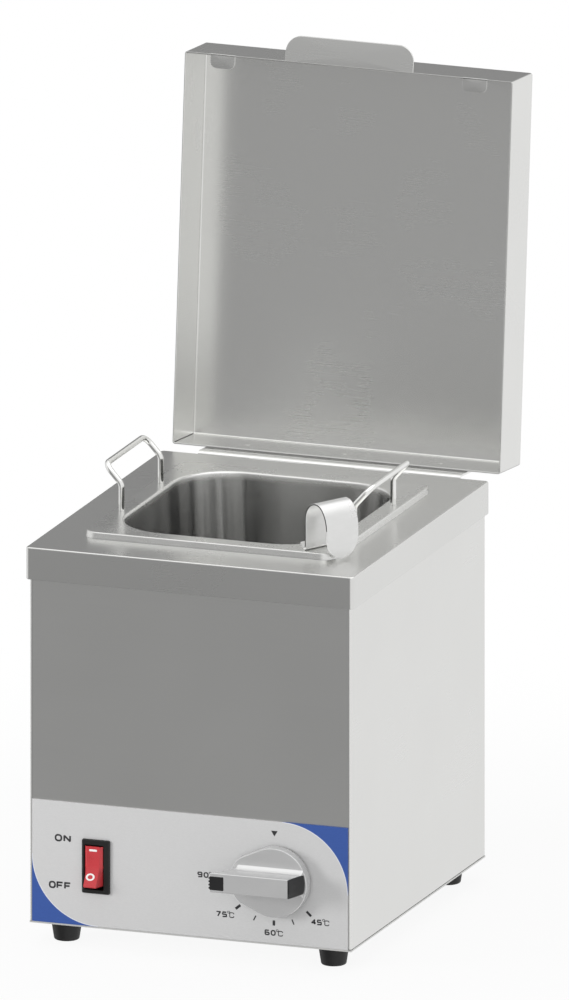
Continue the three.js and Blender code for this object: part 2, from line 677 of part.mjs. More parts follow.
// Flat heater under the well, with the bar and the two studs that press it up.
function makeHeater() {
  const top = WELL_FLOOR - SHEET - BOND;
  const low = top - HEATER_THICKNESS;
  addPart(body, 'heater_plate', block([-HEATER_WIDTH / 2, HEATER_WIDTH / 2],
    [-HEATER_DEPTH / 2, HEATER_DEPTH / 2], [low, top]), finishes.zinc);
  const barTop = low - BOND;
  const barLow = barTop - CLAMP_THICKNESS;
  const reach = HEATER_DEPTH / 2 + CLAMP_OVERHANG;
  const studY = HEATER_DEPTH / 2 + CLAMP_OVERHANG / 2;
  let bar = block([-CLAMP_WIDTH / 2, CLAMP_WIDTH / 2], [-reach, reach], [barLow, barTop]);
  for (const [place, y] of [['front', -studY], ['back', studY]]) {
    bar = bar.subtract(postBar(STUD_RADIUS + HOLE_GAP, barLow - OVERRUN, barTop + OVERRUN, 0, y));
    const nutTop = barLow - BOND;
    const nutLow = nutTop - STUD_NUT_HEIGHT;
    const stud = solid(turned([
      [0, nutLow - STUD_TAIL], [STUD_RADIUS, nutLow - STUD_TAIL], [STUD_RADIUS, nutLow],
      [STUD_NUT_RADIUS, nutLow], [STUD_NUT_RADIUS, nutTop], [STUD_RADIUS, nutTop],
      [STUD_RADIUS, top], [0, top],
    ], SMALL_SIDES));
    addPart(body, `heater_stud_${place}`, stud, finishes.zinc).position.set(0, y, 0);
  }
  addPart(body, 'heater_clamp', bar, finishes.zinc);
}

// Safety cut-out on the well's floor beside the heater.
function makeSafetyCutout() {
  const top = WELL_FLOOR - SHEET - BOND;
  const disc = postBar(CUTOUT_RADIUS, top - CUTOUT_HEIGHT, top, CUTOUT_OFFSET, 0, ROUND_SIDES);
  addPart(body, 'safety_cutout', disc, finishes.black);
}

// Thermostat body behind the panel, its neck in the panel and its two front screws.
function makeThermostat() {
  const front = -CASING_Y + SHEET + BOND;
  const middle = DIAL_Z;
  let housing = block([DIAL_X - THERMOSTAT_WIDTH / 2, DIAL_X + THERMOSTAT_WIDTH / 2],
    [front, front + THERMOSTAT_DEPTH],
    [middle - THERMOSTAT_HEIGHT / 2, middle + THERMOSTAT_HEIGHT / 2]);
  housing = housing.add(frontBar(NECK_RADIUS, front - NECK_LENGTH, front + OVERRUN, DIAL_X, middle,
    ROUND_SIDES));
  const shaftBack = KNOB_BACK - SHAFT_GRIP + SHAFT_LENGTH;
  housing = housing.subtract(frontBar(SHAFT_RADIUS + RUNNING_GAP, front - NECK_LENGTH - OVERRUN,
    shaftBack + RUNNING_GAP, DIAL_X, middle));
  for (const [place, sign] of [['left', -1], ['right', 1]]) {
    const x = DIAL_X + sign * THERMOSTAT_SCREW_PITCH / 2;
    const headBack = PLATE_FRONT - BOND;
    const tip = front + THERMOSTAT_SCREW_REACH;
    housing = housing.subtract(frontBar(THERMOSTAT_SCREW_RADIUS + HOLE_GAP, front - OVERRUN,
      tip + HOLE_GAP, x, middle));
    const screw = frontBar(THERMOSTAT_SCREW_HEAD, headBack - THERMOSTAT_SCREW_HEAD_HEIGHT, headBack,
      x, middle).add(frontBar(THERMOSTAT_SCREW_RADIUS, headBack - BOND, tip, x, middle));
    addPart(body, `thermostat_screw_${place}`, screw, finishes.zinc);
  }
  addPart(body, 'thermostat_body', housing, finishes.black);
}

// Sensing bulb along the well's side, with its capillary to the thermostat and its clip.
function makeBulb() {
  const x = WELL_WIDTH / 2 + SHEET + HOLE_GAP + BULB_RADIUS;
  const z = WELL_FLOOR + BULB_RISE;
  const start = -BULB_LENGTH / 2;
  const port = -CASING_Y + SHEET + BOND + THERMOSTAT_DEPTH + HOLE_GAP;
  const portZ = DIAL_Z + THERMOSTAT_HEIGHT / 4;
  const turn = port + THERMOSTAT_DEPTH / 2;
  const route = [
    new THREE.Vector3(DIAL_X, port, portZ), new THREE.Vector3(DIAL_X, turn, portZ),
    new THREE.Vector3(x, turn, portZ + THERMOSTAT_HEIGHT / 2), new THREE.Vector3(x, turn, z),
    new THREE.Vector3(x, start + OVERRUN, z),
  ];
  const tube = wire(roundedRoute(route, BULB_RADIUS * 2), CAPILLARY / 2, CAPILLARY_STEPS);
  const bulb = frontBar(BULB_RADIUS, start, -start, x, z);
  addPart(body, 'thermostat_bulb', tube.add(bulb), finishes.zinc);
  const wall = WELL_WIDTH / 2 + SHEET + BOND;
  const outer = x + BULB_RADIUS + HOLE_GAP + CLIP_WALL;
  const hook = block([wall, outer], [-CLIP_WIDTH / 2, CLIP_WIDTH / 2],
    [z - BULB_RADIUS - HOLE_GAP - CLIP_WALL, z + CLIP_HEIGHT]);
  const seat = block([wall - OVERRUN, x + BULB_RADIUS + HOLE_GAP], [-CLIP_WIDTH, CLIP_WIDTH],
    [z - BULB_RADIUS - HOLE_GAP, z + BULB_RADIUS + HOLE_GAP]);
  addPart(body, 'bulb_clip', hook.subtract(seat), finishes.zinc);
}

// Insulating blanket that fills the room between the upper part of the well and the casing,
// apart from an air gap.
function makeBlanket() {
  const inner = WELL_WIDTH + 2 * SHEET + 2 * HOLE_GAP;
  const innerDepth = WELL_DEPTH + 2 * SHEET + 2 * HOLE_GAP;
  const outer = 2 * (CASING_X - SHEET - BLANKET_AIR);
  const outerDepth = 2 * (CASING_Y - SHEET - BLANKET_AIR);
  const thickness = Math.min(outer - inner, outerDepth - innerDepth) / 2;
  const low = WELL_FLOOR + BLANKET_RISE + CLIP_HEIGHT;
  const high = COVER_TOP - BLANKET_DROP;
  const outside = upright(
    roundedRectangle(outer, outerDepth, WELL_CORNER + SHEET + thickness), low, high);
  const hollow = upright(roundedRectangle(inner, innerDepth, WELL_CORNER + SHEET + HOLE_GAP),
    low - OVERRUN, high + OVERRUN);
  addPart(body, 'insulation_blanket', outside.subtract(hollow), finishes.blanket);
}

// Switch housing: a bezel on the plate and an open box through the panel.
function makeSwitchHousing() {
  const bezelBack = PLATE_FRONT - BOND;
  const bezelFront = bezelBack - BEZEL_THICKNESS;
  const boxBack = bezelBack + SWITCH_DEPTH;
  const middle = SWITCH_RISE;
  const bezel = block([SWITCH_X - BEZEL_WIDTH / 2, SWITCH_X + BEZEL_WIDTH / 2],
    [bezelFront, bezelBack], [middle - BEZEL_HEIGHT / 2, middle + BEZEL_HEIGHT / 2]);
  const box = block([SWITCH_X - SWITCH_WIDTH / 2, SWITCH_X + SWITCH_WIDTH / 2],
    [bezelBack - BOND, boxBack], [middle - SWITCH_HEIGHT / 2, middle + SWITCH_HEIGHT / 2]);
  const hollow = block(
    [SWITCH_X - SWITCH_WIDTH / 2 + SWITCH_WALL, SWITCH_X + SWITCH_WIDTH / 2 - SWITCH_WALL],
    [bezelFront - OVERRUN, boxBack - OVERRUN],
    [middle - SWITCH_HEIGHT / 2 + SWITCH_WALL, middle + SWITCH_HEIGHT / 2 - SWITCH_WALL]);
  let housing = bezel.add(box).subtract(hollow);
  for (const sign of [-1, 1]) {
    const z = middle + sign * TERMINAL_PITCH;
    housing = housing.add(block([SWITCH_X - TERMINAL_WIDTH / 2, SWITCH_X + TERMINAL_WIDTH / 2],
      [boxBack - BOND, boxBack + TERMINAL_LENGTH],
      [z - TERMINAL_THICKNESS / 2, z + TERMINAL_THICKNESS / 2]));
  }
  addPart(body, 'switch_housing', housing, finishes.black);
}

// Rocker held by its pivot pins between the housing's side walls, its lower half standing out.
function makeRocker() {
  const face = PLATE_FRONT - BOND - BEZEL_THICKNESS;
  const slope = Math.tan(THREE.MathUtils.degToRad(ROCKER_THROW));
  const front = face - ROCKER_PROUD;
  const lower = front - (ROCKER_DROP - ROCKER_CHEEK) * slope;
  const top = SWITCH_RISE + ROCKER_RISE;
  const bottom = SWITCH_RISE - ROCKER_DROP;
  const outline = new THREE.Shape();
  outline.moveTo(front, top);
  outline.lineTo(front, SWITCH_RISE);
  outline.lineTo(lower, bottom + ROCKER_CHEEK);
  outline.lineTo(lower + ROCKER_CHEEK, bottom);
  outline.lineTo(face + ROCKER_DEPTH / 2, bottom + ROCKER_CHEEK);
  outline.lineTo(face + ROCKER_DEPTH, SWITCH_RISE - ROCKER_DROP / 3);
  outline.lineTo(face + ROCKER_DEPTH, SWITCH_RISE + ROCKER_DROP / 3);
  outline.lineTo(face + ROCKER_DEPTH / 2, top - ROCKER_CHEEK);
  const rocker = across(outline, SWITCH_X - ROCKER_WIDTH / 2, SWITCH_X + ROCKER_WIDTH / 2);
  const reach = SWITCH_WIDTH / 2 - SWITCH_WALL - HOLE_GAP;
  const pivot = roundBar(ROCKER_PIVOT, -reach, reach);
  pivot.rotateY(Math.PI / 2);
  pivot.translate(SWITCH_X, face + BEZEL_THICKNESS, SWITCH_RISE);
  addPart(body, 'switch_rocker', rocker.add(solid(pivot)), finishes.red);
}

// Side outline of the knob's grip bar in the XY plane, its tip leaning out over the disc's edge.
function gripOutline() {
  const root = KNOB_FRONT + KNOB_EDGE;
  return new THREE.Shape([
    new THREE.Vector2(DIAL_X - GRIP_TIP_BACK, root),
    new THREE.Vector2(DIAL_X - GRIP_TIP_FRONT, GRIP_FRONT),
    new THREE.Vector2(DIAL_X + GRIP_TAIL_FRONT, GRIP_FRONT),
    new THREE.Vector2(DIAL_X + GRIP_TAIL_BACK, root),
  ]);
}

// Knob: a disc with a rounded edge, a hollow back and a raised bar to grip, with two black inlays.
function makeKnob() {
  const profile = [
    [0, 0], [KNOB_RADIUS - KNOB_EDGE, 0], [KNOB_RADIUS, KNOB_EDGE], [KNOB_RADIUS, KNOB_DISC],
    [KNOB_HOLLOW, KNOB_DISC], [KNOB_HOLLOW, KNOB_DISC - KNOB_HOLLOW_DEPTH],
    [KNOB_BOSS, KNOB_DISC - KNOB_HOLLOW_DEPTH], [KNOB_BOSS, KNOB_DISC], [0, KNOB_DISC],
  ];
  const disc = turned(profile, KNOB_SIDES);
  disc.rotateX(-Math.PI / 2);
  disc.translate(DIAL_X, KNOB_FRONT, DIAL_Z);
  const half = GRIP_WIDTH / 2;
  const grip = upright(gripOutline(), DIAL_Z - half, DIAL_Z + half);
  const shaftFront = KNOB_BACK - SHAFT_GRIP;
  const bore = frontBar(SHAFT_RADIUS + RUNNING_GAP, shaftFront - RUNNING_GAP, KNOB_BACK + OVERRUN,
    DIAL_X, DIAL_Z);
  const slant = (GRIP_TAIL_BACK - GRIP_TAIL_FRONT) / (GRIP_RISE + KNOB_EDGE);
  const tailAt = (y) => DIAL_X + GRIP_TAIL_FRONT + (y - GRIP_FRONT) * slant;
  const tailBack = KNOB_FRONT - HOLE_GAP;
  const tail = (depth, front, back) => new THREE.Shape([
    new THREE.Vector2(tailAt(front) - depth, front), new THREE.Vector2(tailAt(front), front),
    new THREE.Vector2(tailAt(back), back), new THREE.Vector2(tailAt(back) - depth, back),
  ]);
  const tailPocket = upright(tail(INLAY_DEPTH, GRIP_FRONT - OVERRUN, tailBack),
    DIAL_Z - half - OVERRUN, DIAL_Z + half + OVERRUN);
  const tipInner = DIAL_X - GRIP_TIP_FRONT + TIP_INLAY_LENGTH;
  const tipPocket = block([DIAL_X - GRIP_TIP_FRONT - OVERRUN, tipInner],
    [GRIP_FRONT - OVERRUN, GRIP_FRONT + INLAY_DEPTH],
    [DIAL_Z - TIP_INLAY_WIDTH / 2, DIAL_Z + TIP_INLAY_WIDTH / 2]);
  const knob = solid(disc).add(grip).subtract(bore).subtract(tailPocket).subtract(tipPocket);
  addPart(body, 'thermostat_knob', knob, finishes.silver);
  const tailInlay = upright(tail(INLAY_DEPTH - BOND, GRIP_FRONT, tailBack - BOND),
    DIAL_Z - half, DIAL_Z + half);
  addPart(body, 'knob_tail_inlay', tailInlay, finishes.black);
  const seat = TIP_INLAY_WIDTH / 2 - BOND;
  const tipSlope = (GRIP_TIP_FRONT - GRIP_TIP_BACK) / (GRIP_RISE + KNOB_EDGE);
  const tipDepth = INLAY_DEPTH - BOND;
  const tipShape = new THREE.Shape([
    new THREE.Vector2(DIAL_X - GRIP_TIP_FRONT, GRIP_FRONT),
    new THREE.Vector2(tipInner - BOND, GRIP_FRONT),
    new THREE.Vector2(tipInner - BOND, GRIP_FRONT + tipDepth),
    new THREE.Vector2(DIAL_X - GRIP_TIP_FRONT + tipDepth * tipSlope, GRIP_FRONT + tipDepth),
  ]);
  addPart(body, 'knob_tip_inlay', upright(tipShape, DIAL_Z - seat, DIAL_Z + seat), finishes.black);
  const shaft = frontBar(SHAFT_RADIUS, shaftFront, shaftFront + SHAFT_LENGTH, DIAL_X, DIAL_Z);
  addPart(body, 'thermostat_shaft', shaft, finishes.zinc);
}

// Cable entry in the back of the casing, with the nut inside.
function makeGland() {
  const z = FOOT_HEIGHT + GLAND_RISE;
  const back = CASING_Y + BOND;
  const nutEnd = back + GLAND_NUT_LENGTH;
  const inside = CASING_Y - SHEET;
  const entry = frontBar(GLAND_NUT_RADIUS, back, nutEnd, GLAND_X, z, ROUND_SIDES)
    .add(frontBar(GLAND_DOME_RADIUS, nutEnd - BOND, nutEnd + GLAND_DOME_LENGTH, GLAND_X, z,
      ROUND_SIDES))
    .add(frontBar(GLAND_THREAD_RADIUS, inside - GLAND_THREAD_LENGTH, back + BOND, GLAND_X, z,
      ROUND_SIDES))
    .subtract(frontBar(GLAND_BORE, inside - GLAND_THREAD_LENGTH - OVERRUN,
      nutEnd + GLAND_DOME_LENGTH + OVERRUN, GLAND_X, z));
  addPart(body, 'cable_gland', entry, finishes.black);
  const nut = frontBar(LOCKNUT_RADIUS, inside - BOND - LOCKNUT_LENGTH, inside - BOND, GLAND_X, z,
    ROUND_SIDES).subtract(frontBar(GLAND_THREAD_RADIUS + HOLE_GAP,
    inside - LOCKNUT_LENGTH - OVERRUN, inside + OVERRUN, GLAND_X, z, ROUND_SIDES));
  addPart(body, 'gland_locknut', nut, finishes.black);
}

// Terminal block on the base near the cable entry, and the earth stud.
function makeWiringPoints() {
  const low = BASE_TOP + BOND;
  const y = CASING_Y - BLOCK_SETBACK;
  let terminals = block([GLAND_X - BLOCK_LENGTH / 2, GLAND_X + BLOCK_LENGTH / 2],
    [y - BLOCK_WIDTH / 2, y + BLOCK_WIDTH / 2], [low, low + BLOCK_HEIGHT]);
  for (let pole = 0; pole < BLOCK_POLES; pole += 1) {
    const x = GLAND_X + (pole - (BLOCK_POLES - 1) / 2) * BLOCK_LENGTH / BLOCK_POLES;
    terminals = terminals.subtract(frontBar(BLOCK_BORE, y - BLOCK_WIDTH, y + BLOCK_WIDTH, x,
      low + BLOCK_HEIGHT / 2));
  }
  addPart(body, 'terminal_block', terminals, finishes.black);
  const headTop = FOOT_HEIGHT - BOND;
  const nutLow = BASE_TOP + BOND;
  const stud = solid(turned([
    [0, headTop - STUD_NUT_HEIGHT / 2], [STUD_NUT_RADIUS, headTop - STUD_NUT_HEIGHT / 2],
    [STUD_NUT_RADIUS, headTop], [STUD_RADIUS, headTop], [STUD_RADIUS, nutLow],
    [STUD_NUT_RADIUS, nutLow], [STUD_NUT_RADIUS, nutLow + STUD_NUT_HEIGHT],
    [STUD_RADIUS, nutLow + STUD_NUT_HEIGHT], [STUD_RADIUS, nutLow + EARTH_LENGTH],
    [0, nutLow + EARTH_LENGTH],
  ], SMALL_SIDES));
  addPart(body, 'earth_stud', stud, finishes.zinc).position.set(0, CASING_Y - EARTH_SETBACK, 0);
}

// Ladle: a flat strap bent over the pan's corner, narrowing to a stem that carries the cup.
function makeLadle() {
  const ladle = new THREE.Group();
  const cornerX = PAN_WIDTH / 2 - PAN_CORNER;
  const cornerY = PAN_CORNER - PAN_DEPTH / 2;
  const turn = THREE.MathUtils.degToRad(LADLE_TURN);
  const outX = -Math.cos(turn);
  const outY = -Math.sin(turn);
  const reach = PAN_CORNER + TONGUE_CLEARANCE;
  ladle.position.set(cornerX + outX * reach - outY * TONGUE_SHIFT,
    cornerY + outY * reach + outX * TONGUE_SHIFT, COVER_TOP);
  ladle.rotation.z = turn;
  body.add(ladle);

  const shoulder = HOOK_RISE - HOOK_RADIUS;
  const cupFloor = PAN_FLOOR - COVER_TOP + PAN_WALL + SEAM;
  const rim = cupFloor + CUP_HEIGHT;
  const stemEnd = rim + CUP_HEIGHT / 4 - STEM_END;
  const route = [
    new THREE.Vector2(0, TONGUE_LIFT),
    ...arcPoints(HOOK_RADIUS, shoulder, HOOK_RADIUS, 180, 5, CURL_STEPS),
    new THREE.Vector2(STEM_MOUTH, PAN_RISE),
    new THREE.Vector2(STEM_FOOT, rim + STEM_WIDTH / 2),
    new THREE.Vector2(STEM_FOOT, stemEnd),
  ];
  const strip = new THREE.ExtrudeGeometry(bentStrip(route, STRAP), {
    depth: TONGUE_WIDTH, bevelEnabled: false });
  strip.translate(0, 0, -TONGUE_WIDTH / 2);
  strip.rotateX(Math.PI / 2);
  const halfTongue = TONGUE_WIDTH / 2;
  const halfStem = STEM_WIDTH / 2;
  const tongue = new THREE.Shape();
  tongue.moveTo(-halfTongue, HOOK_RISE + OVERRUN);
  tongue.lineTo(-halfTongue, TONGUE_LIFT + halfTongue);
  tongue.absarc(0, TONGUE_LIFT + halfTongue, halfTongue, Math.PI, 2 * Math.PI, false);
  tongue.lineTo(halfTongue, HOOK_RISE + OVERRUN);
  const stem = new THREE.Shape([
    new THREE.Vector2(-halfTongue, HOOK_RISE + OVERRUN),
    new THREE.Vector2(-halfTongue, STEM_NARROW_TOP), new THREE.Vector2(-halfStem, PAN_RISE),
    new THREE.Vector2(-halfStem, stemEnd - OVERRUN), new THREE.Vector2(halfStem, stemEnd - OVERRUN),
    new THREE.Vector2(halfStem, PAN_RISE), new THREE.Vector2(halfTongue, STEM_NARROW_TOP),
    new THREE.Vector2(halfTongue, HOOK_RISE + OVERRUN),
  ]);
  const mask = across(tongue, -OVERRUN, HOOK_RADIUS)
    .add(across(stem, HOOK_RADIUS, STEM_FOOT + OVERRUN));
  const cupX = STEM_FOOT + STRAP / 2 + HOLE_GAP + CUP_RADIUS;
  const rivetPlaces = [rim - CUP_RIVET_DROP, rim - CUP_RIVET_DROP - CUP_RIVET_PITCH];
  const hole = (z) => {
    const bar = roundBar(CUP_RIVET_RADIUS + HOLE_GAP, STEM_FOOT - OVERRUN * 2,
      STEM_FOOT + OVERRUN * 2, SMALL_SIDES);
    bar.rotateY(Math.PI / 2);
    bar.translate(0, 0, z);
    return solid(bar);
  };
  let handle = solid(strip).intersect(mask);
  const inner = CUP_RADIUS - CUP_WALL;
  const bend = CUP_FLOOR_RADIUS;
  const innerBend = bend - CUP_WALL;
  const outerArc = arcPoints(CUP_RADIUS - bend, cupFloor + bend, bend, -90, 0, BEND_STEPS);
  const innerArc = arcPoints(inner - innerBend, cupFloor + bend, innerBend, 0, -90, BEND_STEPS);
  const outline = [
    [0, cupFloor], ...outerArc.map((point) => [point.x, point.y]), [CUP_RADIUS, rim], [inner, rim],
    ...innerArc.map((point) => [point.x, point.y]), [0, cupFloor + CUP_WALL],
  ];
  const bowl = turned(outline, ROUND_SIDES);
  bowl.translate(cupX, 0, 0);
  let cup = solid(bowl);
  rivetPlaces.forEach((z, index) => {
    handle = handle.subtract(hole(z));
    cup = cup.subtract(hole(z));
    const outerHead = STEM_FOOT - STRAP / 2 - HOLE_GAP;
    const innerHead = STEM_FOOT + STRAP / 2 + CUP_WALL + CUP_RIVET_HEAD_HEIGHT;
    const rivet = turned([
      [0, outerHead - CUP_RIVET_HEAD_HEIGHT], [CUP_RIVET_HEAD, outerHead - CUP_RIVET_HEAD_HEIGHT],
      [CUP_RIVET_HEAD, outerHead], [CUP_RIVET_RADIUS, outerHead], [CUP_RIVET_RADIUS, innerHead],
      [0, innerHead],
    ], SMALL_SIDES);
    rivet.rotateY(Math.PI / 2);
    rivet.translate(0, 0, z);
    addPart(ladle, `ladle_rivet_${index + 1}`, solid(rivet), finishes.bright);
  });
  addPart(ladle, 'ladle_handle', handle, finishes.bright);
  addPart(ladle, 'ladle_cup', cup, finishes.bright);
}

// Height of the screws in the casing's hinge leaf.
function casingScrewHeight() {
  return COVER_TOP - SKIRT_HEIGHT - CASING_LEAF_GAP - CASING_LEAF_HEIGHT / 2;
}

// Knuckle bands along the pin that belong to one leaf: the even ones or the odd ones.
function knuckleBands(first) {
  const pitch = HINGE_LENGTH / HINGE_KNUCKLES;
  const bands = [];
  for (let index = first; index < HINGE_KNUCKLES; index += 2) {
    const start = -HINGE_LENGTH / 2 + index * pitch;
    bands.push([start, start + pitch]);
  }
  return bands;
}

// Hinge leaf of the casing: flat on the back wall, stepped out below the skirt, curled on the pin.
function makeCasingLeaf() {
  const y = CASING_Y + BOND + HINGE_SHEET / 2;
  const shelf = COVER_TOP - SKIRT_HEIGHT - CASING_LEAF_GAP;
  const route = [
    new THREE.Vector2(y, shelf - CASING_LEAF_HEIGHT), new THREE.Vector2(y, shelf),
    new THREE.Vector2(HINGE_Y + KNUCKLE_RADIUS, shelf),
    ...arcPoints(HINGE_Y, HINGE_Z, KNUCKLE_RADIUS, 0, CASING_CURL_END, CURL_STEPS),
  ];
  let leaf = across(bentStrip(route, HINGE_SHEET), -HINGE_LENGTH / 2, HINGE_LENGTH / 2);
  for (const [low, high] of knuckleBands(0)) {
    leaf = leaf.subtract(block([low - KNUCKLE_GAP, high + KNUCKLE_GAP],
      [COVER_DEPTH / 2, HINGE_Y + HINGE_BACK], [shelf + HINGE_SHEET, COVER_TOP]));
  }
  for (const x of hingeFastenerPlaces()) {
    leaf = leaf.subtract(frontBar(RIVET_RADIUS + HOLE_GAP, CASING_Y - OVERRUN,
      CASING_Y + HINGE_SHEET + OVERRUN, x, casingScrewHeight()));
  }
  addPart(body, 'hinge_leaf_casing', leaf, finishes.brushed);
}

// A headed pin along Y: its head behind the leaf and its shank through the sheets in front.
function headedPin(headFront, tip, x, z) {
  return frontBar(RIVET_HEAD, headFront, headFront + RIVET_HEAD_HEIGHT, x, z)
    .add(frontBar(RIVET_RADIUS, tip, headFront + BOND, x, z));
}

// Pin of the hinge and the screws of the casing's leaf.
function makeHingePin() {
  const length = HINGE_LENGTH / 2 + PIN_END;
  const pin = roundBar(PIN_RADIUS, -length, length, SMALL_SIDES);
  pin.rotateY(Math.PI / 2);
  pin.translate(0, HINGE_Y, HINGE_Z);
  addPart(body, 'hinge_pin', solid(pin), finishes.zinc);
  hingeFastenerPlaces().forEach((x, index) => {
    const screw = headedPin(CASING_Y + 2 * BOND + HINGE_SHEET, CASING_Y - SHEET - OVERRUN, x,
      casingScrewHeight());
    addPart(body, `hinge_screw_${index + 1}`, screw, finishes.zinc);
  });
}

// The pull in front of the lid and the two rests behind its rim, all in the plane of the rim.
function lidTabs() {
  const front = -COVER_DEPTH / 2;
  const middle = front + SHEET / 2;
  const height = [LID_RIM - OVERRUN, LID_RIM + LID_DEPTH];
  const width = [-COVER_WIDTH, COVER_WIDTH];
  const pull = upright(roundedRectangle(PULL_WIDTH, 2 * PULL_LENGTH, PULL_CORNER), LID_RIM,
    LID_RIM + SHEET, 0, front).intersect(block(width, [front - COVER_DEPTH, middle], height));
  const x = COVER_WIDTH / 2 - REST_INSET;
  const rest = roundedRectangle(REST_WIDTH, 2 * REST_LENGTH, REST_CORNER);
  const rests = upright(rest, LID_RIM, LID_RIM + SHEET, -x, front)
    .add(upright(rest, LID_RIM, LID_RIM + SHEET, x, front))
    .intersect(block(width, [middle, front + COVER_DEPTH], height));
  return pull.add(rests);
}

// Lid: a shallow tray with its pull, its hinge leaf and rivets, drawn shut and swung open.
function makeLid() {
  const pivot = new THREE.Group();
  pivot.position.set(0, HINGE_Y, HINGE_Z);
  pivot.rotation.x = -LEAN;
  const lid = new THREE.Group();
  lid.position.set(0, -HINGE_Y, -HINGE_Z);
  pivot.add(lid);
  body.add(pivot);

  const top = LID_RIM + LID_DEPTH;
  const rivetZ = LID_RIM + LID_RIVET_RISE;
  const outside = upright(roundedRectangle(COVER_WIDTH, COVER_DEPTH, LID_CORNER), LID_RIM, top);
  const hollow = block([SHEET - COVER_WIDTH / 2, COVER_WIDTH / 2 - SHEET],
    [SHEET - COVER_DEPTH / 2, COVER_DEPTH / 2 - SHEET], [LID_RIM - OVERRUN, top - SHEET]);
  let tray = outside.subtract(hollow).add(lidTabs());

  const y = COVER_DEPTH / 2 + LEAF_STANDOFF + HINGE_SHEET / 2;
  const low = HINGE_Z - KNUCKLE_RADIUS;
  const route = [
    new THREE.Vector2(y, LID_RIM + LID_LEAF_RISE),
    ...arcPoints(y + LEAF_BEND, low + LEAF_BEND, LEAF_BEND, 180, 270, BEND_STEPS),
    ...arcPoints(HINGE_Y, HINGE_Z, KNUCKLE_RADIUS, -90, LID_CURL_END, CURL_STEPS),
  ];
  let leaf = across(bentStrip(route, HINGE_SHEET), -HINGE_LENGTH / 2, HINGE_LENGTH / 2);
  for (const [from, to] of knuckleBands(1)) {
    leaf = leaf.subtract(block([from - KNUCKLE_GAP, to + KNUCKLE_GAP],
      [y + HINGE_SHEET, HINGE_Y + HINGE_BACK], [low - HINGE_SHEET, LID_RIM]));
  }
  hingeFastenerPlaces().forEach((x, index) => {
    const hole = frontBar(RIVET_RADIUS + HOLE_GAP, COVER_DEPTH / 2 - SHEET - OVERRUN,
      y + HINGE_SHEET + OVERRUN, x, rivetZ);
    tray = tray.subtract(hole);
    leaf = leaf.subtract(hole);
    const rivet = headedPin(y + HINGE_SHEET / 2 + HOLE_GAP, COVER_DEPTH / 2 - SHEET - HOLE_GAP,
      x, rivetZ);
    addPart(lid, `lid_rivet_${index + 1}`, rivet, finishes.bright);
  });
  addPart(lid, 'lid_shell', tray, finishes.brushed);
  addPart(lid, 'hinge_leaf_lid', leaf, finishes.brushed);
}

makeTopCover();
makeCasing();
makeFrontPanel();
makeControlPlate();
makeBasePlate();
makeFeet();
makeBaseScrews();
makePan();
makePanHandles();
makeWaterWell();
makeHeater();
makeSafetyCutout();
makeThermostat();
makeBulb();
makeBlanket();
makeSwitchHousing();
makeRocker();
makeKnob();
makeGland();
makeWiringPoints();
makeLadle();
makeCasingLeaf();
makeHingePin();
makeLid();

// The origin lies on the ground under the middle of the whole, open object.
model.updateMatrixWorld(true);
const extent = new THREE.Box3().setFromObject(model, true);
body.position.y = -(extent.min.y + extent.max.y) / 2;

export default model;
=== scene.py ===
"""Visual model of a countertop bain marie with its lid open and a ladle hooked over the pan.

Sizes are in millimetres about the middle of the top cover, X to the right, Y to the back and Z
up from the ground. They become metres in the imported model's frame when a mesh is made.
"""

import logging
import math
from dataclasses import dataclass, field
from enum import Enum

import bmesh
import bpy
import numpy as np
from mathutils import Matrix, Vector

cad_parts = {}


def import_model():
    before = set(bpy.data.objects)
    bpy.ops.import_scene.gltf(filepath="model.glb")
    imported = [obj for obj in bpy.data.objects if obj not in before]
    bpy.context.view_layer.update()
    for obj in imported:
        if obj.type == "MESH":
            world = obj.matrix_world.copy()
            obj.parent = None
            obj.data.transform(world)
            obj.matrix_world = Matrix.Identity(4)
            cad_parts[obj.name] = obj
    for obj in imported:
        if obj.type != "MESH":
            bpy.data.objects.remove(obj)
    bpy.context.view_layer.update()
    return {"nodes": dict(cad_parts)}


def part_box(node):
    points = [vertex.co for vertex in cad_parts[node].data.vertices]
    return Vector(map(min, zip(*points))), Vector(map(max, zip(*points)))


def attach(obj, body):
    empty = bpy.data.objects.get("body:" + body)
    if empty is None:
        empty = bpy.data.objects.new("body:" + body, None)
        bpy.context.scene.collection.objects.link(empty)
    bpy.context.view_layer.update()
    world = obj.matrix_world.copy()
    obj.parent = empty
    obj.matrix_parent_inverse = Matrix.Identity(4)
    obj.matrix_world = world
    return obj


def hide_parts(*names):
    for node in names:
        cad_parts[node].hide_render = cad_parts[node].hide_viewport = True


LOG = logging.getLogger("bain_marie")
MM = 0.001
MERGE_METRES = 2e-6
FLAT_WEIGHT = 90

Array = np.ndarray
Socket = bpy.types.NodeSocket
Pair = tuple[float, float]
Triple = tuple[float, float, float]
Colour = tuple[float, float, float, float]

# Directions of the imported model
RIGHT = np.array([1.0, 0.0, 0.0])
BACK = np.array([0.0, 1.0, 0.0])
UP = np.array([0.0, 0.0, 1.0])

# Nearly all values of a noise lie between these two
NOISE_LOW = 0.3
NOISE_HIGH = 0.7

# Depth of a surface's relief in metres
STEEL_RELIEF = 0.0002
SKIN_RELIEF = 0.0001
TUFT_RELIEF = 0.0015


class Body(Enum):
    """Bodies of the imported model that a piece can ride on."""

    CASING = "casing"
    LID = "lid"
    PAN = "pan"
    LADLE = "ladle"
    KNOB = "knob"
    ROCKER = "rocker"


class Slot(Enum):
    """Material slots of the record."""

    BRUSHED = "brushed_stainless"
    POLISHED = "polished_stainless"
    PLATE = "printed_plate"
    SILVER = "silver_plastic"
    BLACK = "black_plastic"
    RED = "red_plastic"
    RUBBER = "rubber_foot"
    ZINC = "zinc_steel"
    BLANKET = "mineral_blanket"


